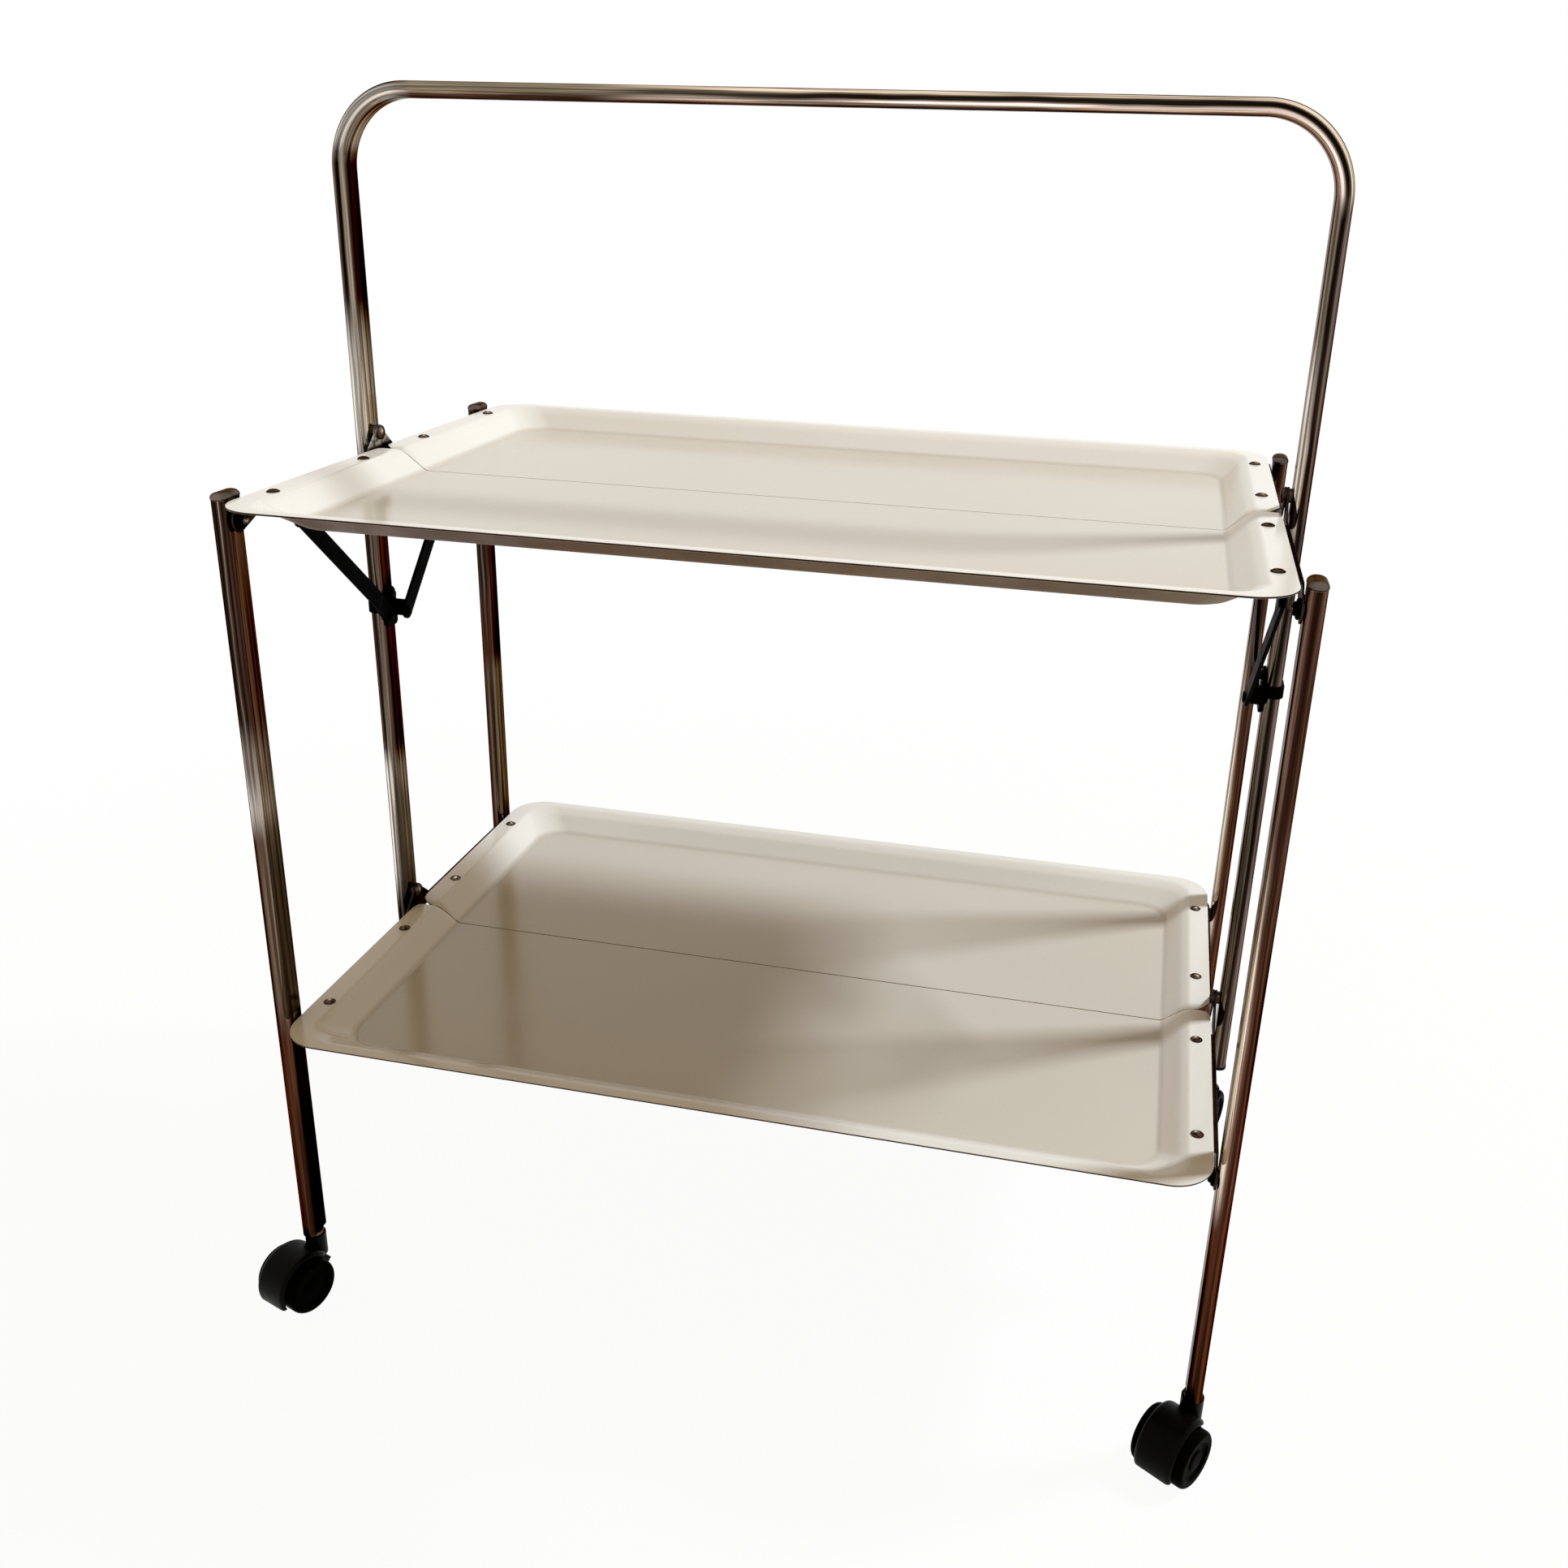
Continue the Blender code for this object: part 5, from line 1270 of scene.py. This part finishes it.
def runner_face():
    """Outline in Y and Z of the runner's face, arched at the top, with small corners at the foot."""
    arch_height = RUNNER_RISE - RUNNER_HALF_DEPTH
    corner_y = RUNNER_HALF_DEPTH - RUNNER_FOOT_CORNER
    corner_z = RUNNER_FOOT_CORNER - RUNNER_DROP
    outline = arc((0, arch_height), RUNNER_HALF_DEPTH, 0, 180, 28)
    outline += arc((-corner_y, corner_z), RUNNER_FOOT_CORNER, 180, 270, 9)
    outline += arc((corner_y, corner_z), RUNNER_FOOT_CORNER, 270, 360, 9)
    return outline


def left_runner():
    """Left runner: a face plate on a band round the tube, with a boss behind its middle."""
    grown = RUNNER_CLEARANCE * 2
    band_grown = grown + RUNNER_BAND_WALL * 2
    plate = softened(prism(runner_face(), -FRAME_X, -RUNNER_INNER_X, "X"), 0.0005, 3)
    band = prism(stadium(TUBE_THICKNESS + band_grown, TUBE_DEPTH + band_grown), *RUNNER_BAND)
    band = softened(band, 0.0005, 3)
    block = combined(plate, moved(band, (-FRAME_X, 0, 0)), "UNION")
    rim = RUNNER_BOSS_RADIUS
    profile = [(rim, -RUNNER_INNER_X - 0.0012), (rim, -RUNNER_BOSS_X - 0.0006)]
    profile += [(rim - 0.0002, -RUNNER_BOSS_X - 0.0002), (rim - 0.0006, -RUNNER_BOSS_X)]
    boss = moved(turned(profile, 40, "X"), (0, RUNNER_PIN_FROM_MIDDLE, RUNNER_BOSS_ABOVE_PIN))
    block = combined(block, boss, "UNION")
    bore = stadium(TUBE_THICKNESS + grown, TUBE_DEPTH + grown)
    bore = prism(bore, -RUNNER_DROP - OVERRUN, RUNNER_RISE + OVERRUN)
    block = combined(block, moved(bore, (-FRAME_X, 0, 0)), "DIFFERENCE")
    opened = -RUNNER_BOSS_X + OVERRUN
    pocket_end = -FRAME_INNER_FACE
    pocket = drill(BUTTON_RADIUS + GAP, pocket_end, opened, "X", (0, 0, BUTTON_ABOVE_PIN), 32)
    return combined(block, pocket, "DIFFERENCE")


def runner_pin(foot_x, lean, runner_x):
    """Left pin through a strut's foot into the runner's face or its boss, with a domed head."""
    head_foot = -foot_x + STRUT_THICKNESS / 2 + lean + GAP
    head = dome(RUNNER_PIN_HEAD_RADIUS, head_foot + 0.0005, RUNNER_PIN_HEAD_HEIGHT - 0.0005)
    profile = list(reversed(head))
    profile += [(RUNNER_PIN_HEAD_RADIUS - 0.0002, head_foot), (RUNNER_PIN_RADIUS, head_foot)]
    profile.append((RUNNER_PIN_RADIUS, -runner_x - RUNNER_PIN_DEPTH + GAP))
    return turned(profile, 24, "X")


def latch_button():
    """Left latch button, with its centre on the runner's inner face."""
    profile = [(BUTTON_RADIUS, -BUTTON_SUNK), (BUTTON_RADIUS, BUTTON_PROUD - 0.0010)]
    profile += dome(BUTTON_RADIUS, BUTTON_PROUD - 0.0009, 0.0009, 6, 0.3)
    return turned(profile, 28, "X")


def make_struts():
    """Runners with their buttons, and the four struts with their pins and rivets."""
    runner = made_mesh("slider", left_runner())
    button = made_mesh("button", latch_button())
    for end, sign, turn in (("left", -1, HERE), ("right", 1, HALF_TURN)):
        at = Matrix.Translation((0, 0, RUNNER_PIN_HEIGHT)) @ turn
        piece(f"slider_{end}", runner, "black_wheel", "runners", [f"runner_{end}"], at)
        spot = Matrix.Translation((sign * RUNNER_INNER_X, 0, RUNNER_PIN_HEIGHT + BUTTON_ABOVE_PIN)) @ turn
        piece(f"button_{end}", button, "black_plastic", f"latch_{end}", [f"latch_button_{end}"], spot)
    near = (
        made_mesh("bar_near", near_strut()),
        made_mesh("slider_pin_near", runner_pin(NEAR_FOOT_X, 0.0, RUNNER_INNER_X)),
    )
    far = (
        made_mesh("bar_far", far_strut()),
        made_mesh("slider_pin_far", runner_pin(FAR_FOOT_X, FAR_FOOT_LEAN, RUNNER_BOSS_X)),
    )
    rivet = made_mesh("bar_rivet", strut_rivet())
    for side, sign, left, right in (("front", -1, near, far), ("rear", 1, far, near)):
        foot = Matrix.Translation((0, sign * RUNNER_PIN_FROM_MIDDLE, RUNNER_PIN_HEIGHT))
        tilt = foot @ Matrix.Rotation(-sign * STRUT_ANGLE, 4, "X")
        body = f"{side}_struts"
        for end, (bar, pin_mesh), turn in (("left", left, HERE), ("right", right, HALF_TURN)):
            node = f"strut_{side}_{end}"
            piece(f"bar_{side}_{end}", bar, "black_steel", body, [node], tilt @ turn)
            piece(f"bar_rivet_{side}_{end}", rivet, "black_steel", body, [node], tilt @ turn)
            pin_node = f"runner_pin_{side}_{end}"
            piece(f"slider_pin_{side}_{end}", pin_mesh, "black_steel", "runners", [pin_node], foot @ turn)


# Castors


def hood_fender():
    """Crowned fender over both wheels."""
    inner = HOOD_RADIUS - HOOD_WALL
    section = []
    for rise, fall in rounded(8):
        half_width = HOOD_HALF_WIDTH - HOOD_SHOULDER[0] * (1 - rise)
        section.append((half_width, HOOD_RADIUS - HOOD_SHOULDER[1] * fall))
    outer = [(-w, r) for w, r in reversed(section)] + section
    outline = outer + [(HOOD_HALF_WIDTH, inner), (-HOOD_HALF_WIDTH, inner)]
    rings = []
    first, last = HOOD_DEGREES
    for step in range(HOOD_STEPS + 1):
        degrees = first + (last - first) * step / HOOD_STEPS
        angle = math.radians(degrees)
        past = max(0.0, (degrees - HOOD_TAPER_START) / (last - HOOD_TAPER_START))
        narrowed = 1 - HOOD_TAPER * (1 - math.sqrt(1 - past * past))
        ring = []
        for w, r in outline:
            x = CASTOR_TRAIL + r * math.cos(angle)
            ring.append((x, w * narrowed, WHEEL_AXIS_HEIGHT + r * math.sin(angle)))
        rings.append(ring)
    return loft(rings)


def castor_hood():
    """Plastic hood: a neck on the stem, a web between the wheels and a fender over them."""
    centre = (CASTOR_TRAIL, WHEEL_AXIS_HEIGHT)
    web = arc(centre, HOOD_RADIUS - 0.0010, HOOD_DEGREES[0], HOOD_DEGREES[1], 30)
    web += [(0.0017 - NECK_RADIUS, HOOD_FRONT_HEIGHT), (0.0080, HOOD_HEEL_HEIGHT), (0.0370, HOOD_HEEL_HEIGHT)]
    body = combined(hood_fender(), prism(web, -0.0070, 0.0070, "Y"), "UNION")
    neck = turned(((NECK_RADIUS, NECK_HEIGHTS[0]), (NECK_RADIUS, NECK_HEIGHTS[1])), 40)
    body = combined(body, neck, "UNION")
    bore = drill(STEM_RADIUS + GAP, HOOD_BORE_FOOT, NECK_HEIGHTS[1] + OVERRUN, "Z", (0, 0, 0))
    return softened(combined(body, bore, "DIFFERENCE"), 0.0005)


def castor_wheel():
    """Plastic wheel on the +Y side: tread, rim ring, dish and hub."""
    inner, outer = WHEEL_FACES
    profile = [(0.0033, inner), (WHEEL_RADIUS - 0.0012, inner)]
    profile += [(WHEEL_RADIUS - 0.0004, inner + 0.0003), (WHEEL_RADIUS, inner + 0.0012)]
    for rise, fall in rounded(8):
        profile.append((WHEEL_RADIUS - 0.0030 * fall, outer - 0.0034 * (1 - rise)))
    profile += [(WHEEL_RADIUS - below, outer - sunk) for below, sunk in WHEEL_RIM]
    profile += [(radius, outer - sunk) for radius, sunk in WHEEL_DISH]
    return turned(profile, 72, "Y")


def castor_stem():
    """Steel stem with its rounded collar under the leg."""
    low, high = COLLAR_HEIGHTS
    profile = [(STEM_RADIUS, STEM_FOOT), (STEM_RADIUS, low)]
    profile += [(COLLAR_RADIUS - COLLAR_CHAMFER, low), (COLLAR_RADIUS, low + COLLAR_CHAMFER)]
    for rise, fall in rounded(6):
        profile.append((COLLAR_RADIUS - COLLAR_ROUNDING * fall, high - COLLAR_ROUNDING * (1 - rise)))
    profile += [(STEM_RADIUS, high), (STEM_RADIUS, high + STEM_IN_LEG)]
    return turned(profile, 36)


def castor_axle():
    """Steel axle along Y, with rounded ends."""
    ends = dome(0.0030, AXLE_HALF_LENGTH, 0.0008, 4)
    profile = [(radius, -height) for radius, height in reversed(ends)] + ends
    return turned(profile, 24, "Y")


def make_castors():
    """Stems, hoods, axles and wheels at the four corners."""
    stem = made_mesh("stem", castor_stem())
    hood = made_mesh("hood", castor_hood())
    axle = made_mesh("axle", castor_axle())
    wheel = made_mesh("wheel", castor_wheel())
    for side, y in (("front", -LEG_Y), ("rear", LEG_Y)):
        for end, x in (("left", -LEG_X), ("right", LEG_X)):
            corner = f"{side}_{end}"
            under = Matrix.Translation((x, y, 0))
            swivel = under @ Matrix.Rotation(math.radians(CASTOR_DEGREES[corner]), 4, "Z")
            hub = swivel @ Matrix.Translation((CASTOR_TRAIL, 0, WHEEL_AXIS_HEIGHT))
            body = f"castor_{corner}"
            piece(f"stem_{corner}", stem, "castor_steel", f"{side}_legs", [f"castor_stem_{corner}"], under)
            piece(f"hood_{corner}", hood, "black_plastic", body, [f"castor_hood_{corner}"], swivel)
            piece(f"axle_{corner}", axle, "castor_steel", body, [f"castor_axle_{corner}"], hub)
            for key, turn in (("a", HERE), ("b", HALF_TURN)):
                name = f"wheel_{corner}_{key}"
                piece(name, wheel, "black_wheel", name, [f"castor_{name}"], hub @ turn)


# Studio


KEY_PLACE = (3.28, 1.41, 4.58)
KEY_TARGET = (0, 0, 0.414)
KEY_WIDTH = 0.85
KEY_WATTS = 272.0
KEY_COLOUR = (0.865, 0.94, 1.0)
FILL_COLOUR = (1.0, 0.77, 0.48, 1.0)
FILL_STRENGTH = 0.45
WHITE = (1.0, 1.0, 1.0, 1.0)
FLOOR_LIGHTING = (0.42, 0.40, 0.38, 1.0)
FLOOR_SEEN = (0.86, 0.86, 0.86, 1.0)
FLOOR_REACH = 14.0
FLOOR_STEPS = 28
FLOOR_DROP = 0.0002
# The floor's own white, as a share: near the object, and from the distance at which it is full.
FLOOR_GLOW = (("From Min", 0.5), ("From Max", 1.6), ("To Min", 0.95), ("To Max", 1.0))


def seen_directly(tree):
    """1 for camera, glossy and transmission rays, and 0 for rays that light the object."""
    path = tree.nodes.new("ShaderNodeLightPath")
    result = path.outputs["Is Camera Ray"]
    for key in ("Is Glossy Ray", "Is Transmission Ray"):
        node = tree.nodes.new("ShaderNodeMath")
        node.operation = "MAXIMUM"
        tree.links.new(result, node.inputs[0])
        tree.links.new(path.outputs[key], node.inputs[1])
        result = node.outputs[0]
    return result


def make_world():
    """White surroundings: full white where seen, and a plain fill light on the object."""
    world = bpy.data.worlds.new("studio")
    bpy.context.scene.world = world
    world.use_nodes = True
    tree = world.node_tree
    sky = tree.nodes["Background"]
    seen = seen_directly(tree)
    tint = tree.nodes.new("ShaderNodeMix")
    tint.data_type = "RGBA"
    tint.inputs[6].default_value = FILL_COLOUR
    tint.inputs[7].default_value = WHITE
    tree.links.new(seen, tint.inputs["Factor"])
    tree.links.new(tint.outputs[2], sky.inputs["Color"])
    strength = tree.nodes.new("ShaderNodeMapRange")
    strength.inputs["To Min"].default_value = FILL_STRENGTH
    strength.inputs["To Max"].default_value = 1.0
    tree.links.new(seen, strength.inputs["Value"])
    tree.links.new(strength.outputs["Result"], sky.inputs["Strength"])


def make_floor():
    """A pale floor that keeps the object's shadow and fades into the white surroundings."""
    solid = bmesh.new()
    places = [FLOOR_REACH * (2 * step / FLOOR_STEPS - 1) for step in range(FLOOR_STEPS + 1)]
    grid = [[solid.verts.new((x, y, 0)) for x in places] for y in places]
    for row in range(FLOOR_STEPS):
        for column in range(FLOOR_STEPS):
            a, b = grid[row][column], grid[row][column + 1]
            solid.faces.new((a, b, grid[row + 1][column + 1], grid[row + 1][column]))
    mesh = bpy.data.meshes.new("floor")
    solid.to_mesh(mesh)
    solid.free()
    floor = bpy.data.objects.new("floor", mesh)
    floor.location = (0, 0, -FLOOR_DROP)
    bpy.context.scene.collection.objects.link(floor)
    material = bpy.data.materials.new("floor")
    material.use_nodes = True
    tree = material.node_tree
    shader = tree.nodes["Principled BSDF"]
    seen = seen_directly(tree)
    albedo = tree.nodes.new("ShaderNodeMix")
    albedo.data_type = "RGBA"
    albedo.inputs[6].default_value = FLOOR_LIGHTING
    albedo.inputs[7].default_value = FLOOR_SEEN
    tree.links.new(seen, albedo.inputs["Factor"])
    tree.links.new(albedo.outputs[2], shader.inputs["Base Color"])
    shader.inputs["Roughness"].default_value = 0.9
    shader.inputs["Specular IOR Level"].default_value = 0.0
    glow = tree.nodes.new("ShaderNodeEmission")
    distance = tree.nodes.new("ShaderNodeVectorMath")
    distance.operation = "LENGTH"
    coordinates = tree.nodes.new("ShaderNodeTexCoord")
    tree.links.new(coordinates.outputs["Object"], distance.inputs[0])
    far = tree.nodes.new("ShaderNodeMapRange")
    far.interpolation_type = "SMOOTHSTEP"
    for key, number in FLOOR_GLOW:
        far.inputs[key].default_value = number
    tree.links.new(distance.outputs["Value"], far.inputs["Value"])
    share = tree.nodes.new("ShaderNodeMath")
    share.operation = "MULTIPLY"
    tree.links.new(far.outputs["Result"], share.inputs[0])
    tree.links.new(seen, share.inputs[1])
    mix = tree.nodes.new("ShaderNodeMixShader")
    tree.links.new(share.outputs[0], mix.inputs[0])
    tree.links.new(shader.outputs[0], mix.inputs[1])
    tree.links.new(glow.outputs[0], mix.inputs[2])
    tree.links.new(mix.outputs[0], tree.nodes["Material Output"].inputs["Surface"])
    mesh.materials.append(material)


def make_lamp(name, place, target, width, power, colour):
    """A soft square lamp that faces a target."""
    data = bpy.data.lights.new(name, "AREA")
    data.shape = "SQUARE"
    data.size = width
    data.energy = power
    data.color = colour
    lamp = bpy.data.objects.new(name, data)
    lamp.location = place
    lamp.rotation_euler = (Vector(target) - Vector(place)).to_track_quat("-Z", "Y").to_euler()
    lamp.visible_glossy = False
    bpy.context.scene.collection.objects.link(lamp)


def make_camera():
    """Camera at the photograph's place, angle and framing."""
    azimuth = math.radians(CAMERA_AZIMUTH)
    elevation = math.radians(CAMERA_ELEVATION)
    roll = math.radians(CAMERA_ROLL)
    level = math.cos(elevation)
    back = Vector((math.sin(azimuth) * level, -math.cos(azimuth) * level, math.sin(elevation)))
    right = Vector((math.cos(azimuth), math.sin(azimuth), 0))
    up = back.cross(right)
    tilted_right = right * math.cos(roll) + up * math.sin(roll)
    tilted_up = up * math.cos(roll) - right * math.sin(roll)
    data = bpy.data.cameras.new("photo_view")
    data.sensor_width = SENSOR
    data.lens = FOCAL_PIXELS * SENSOR / PHOTO_SIDE
    data.shift_x = (PHOTO_SIDE / 2 - PRINCIPAL_X) / PHOTO_SIDE
    data.shift_y = (PRINCIPAL_Y - PHOTO_SIDE / 2) / PHOTO_SIDE
    camera = bpy.data.objects.new("photo_view", data)
    axes = Matrix((tilted_right, tilted_up, back)).transposed().to_4x4()
    camera.matrix_world = Matrix.Translation(CAMERA_PLACE) @ axes
    bpy.context.scene.collection.objects.link(camera)
    bpy.context.scene.camera = camera


def make_studio():
    """Camera, surroundings, floor and lamp."""
    make_camera()
    make_world()
    make_floor()
    make_lamp("key", KEY_PLACE, KEY_TARGET, KEY_WIDTH, KEY_WATTS, KEY_COLOUR)
    bpy.context.scene.view_settings.view_transform = "Standard"


make_studio()
make_trays()
make_tubes()
make_struts()
make_castors()

bpy.context.view_layer.update()
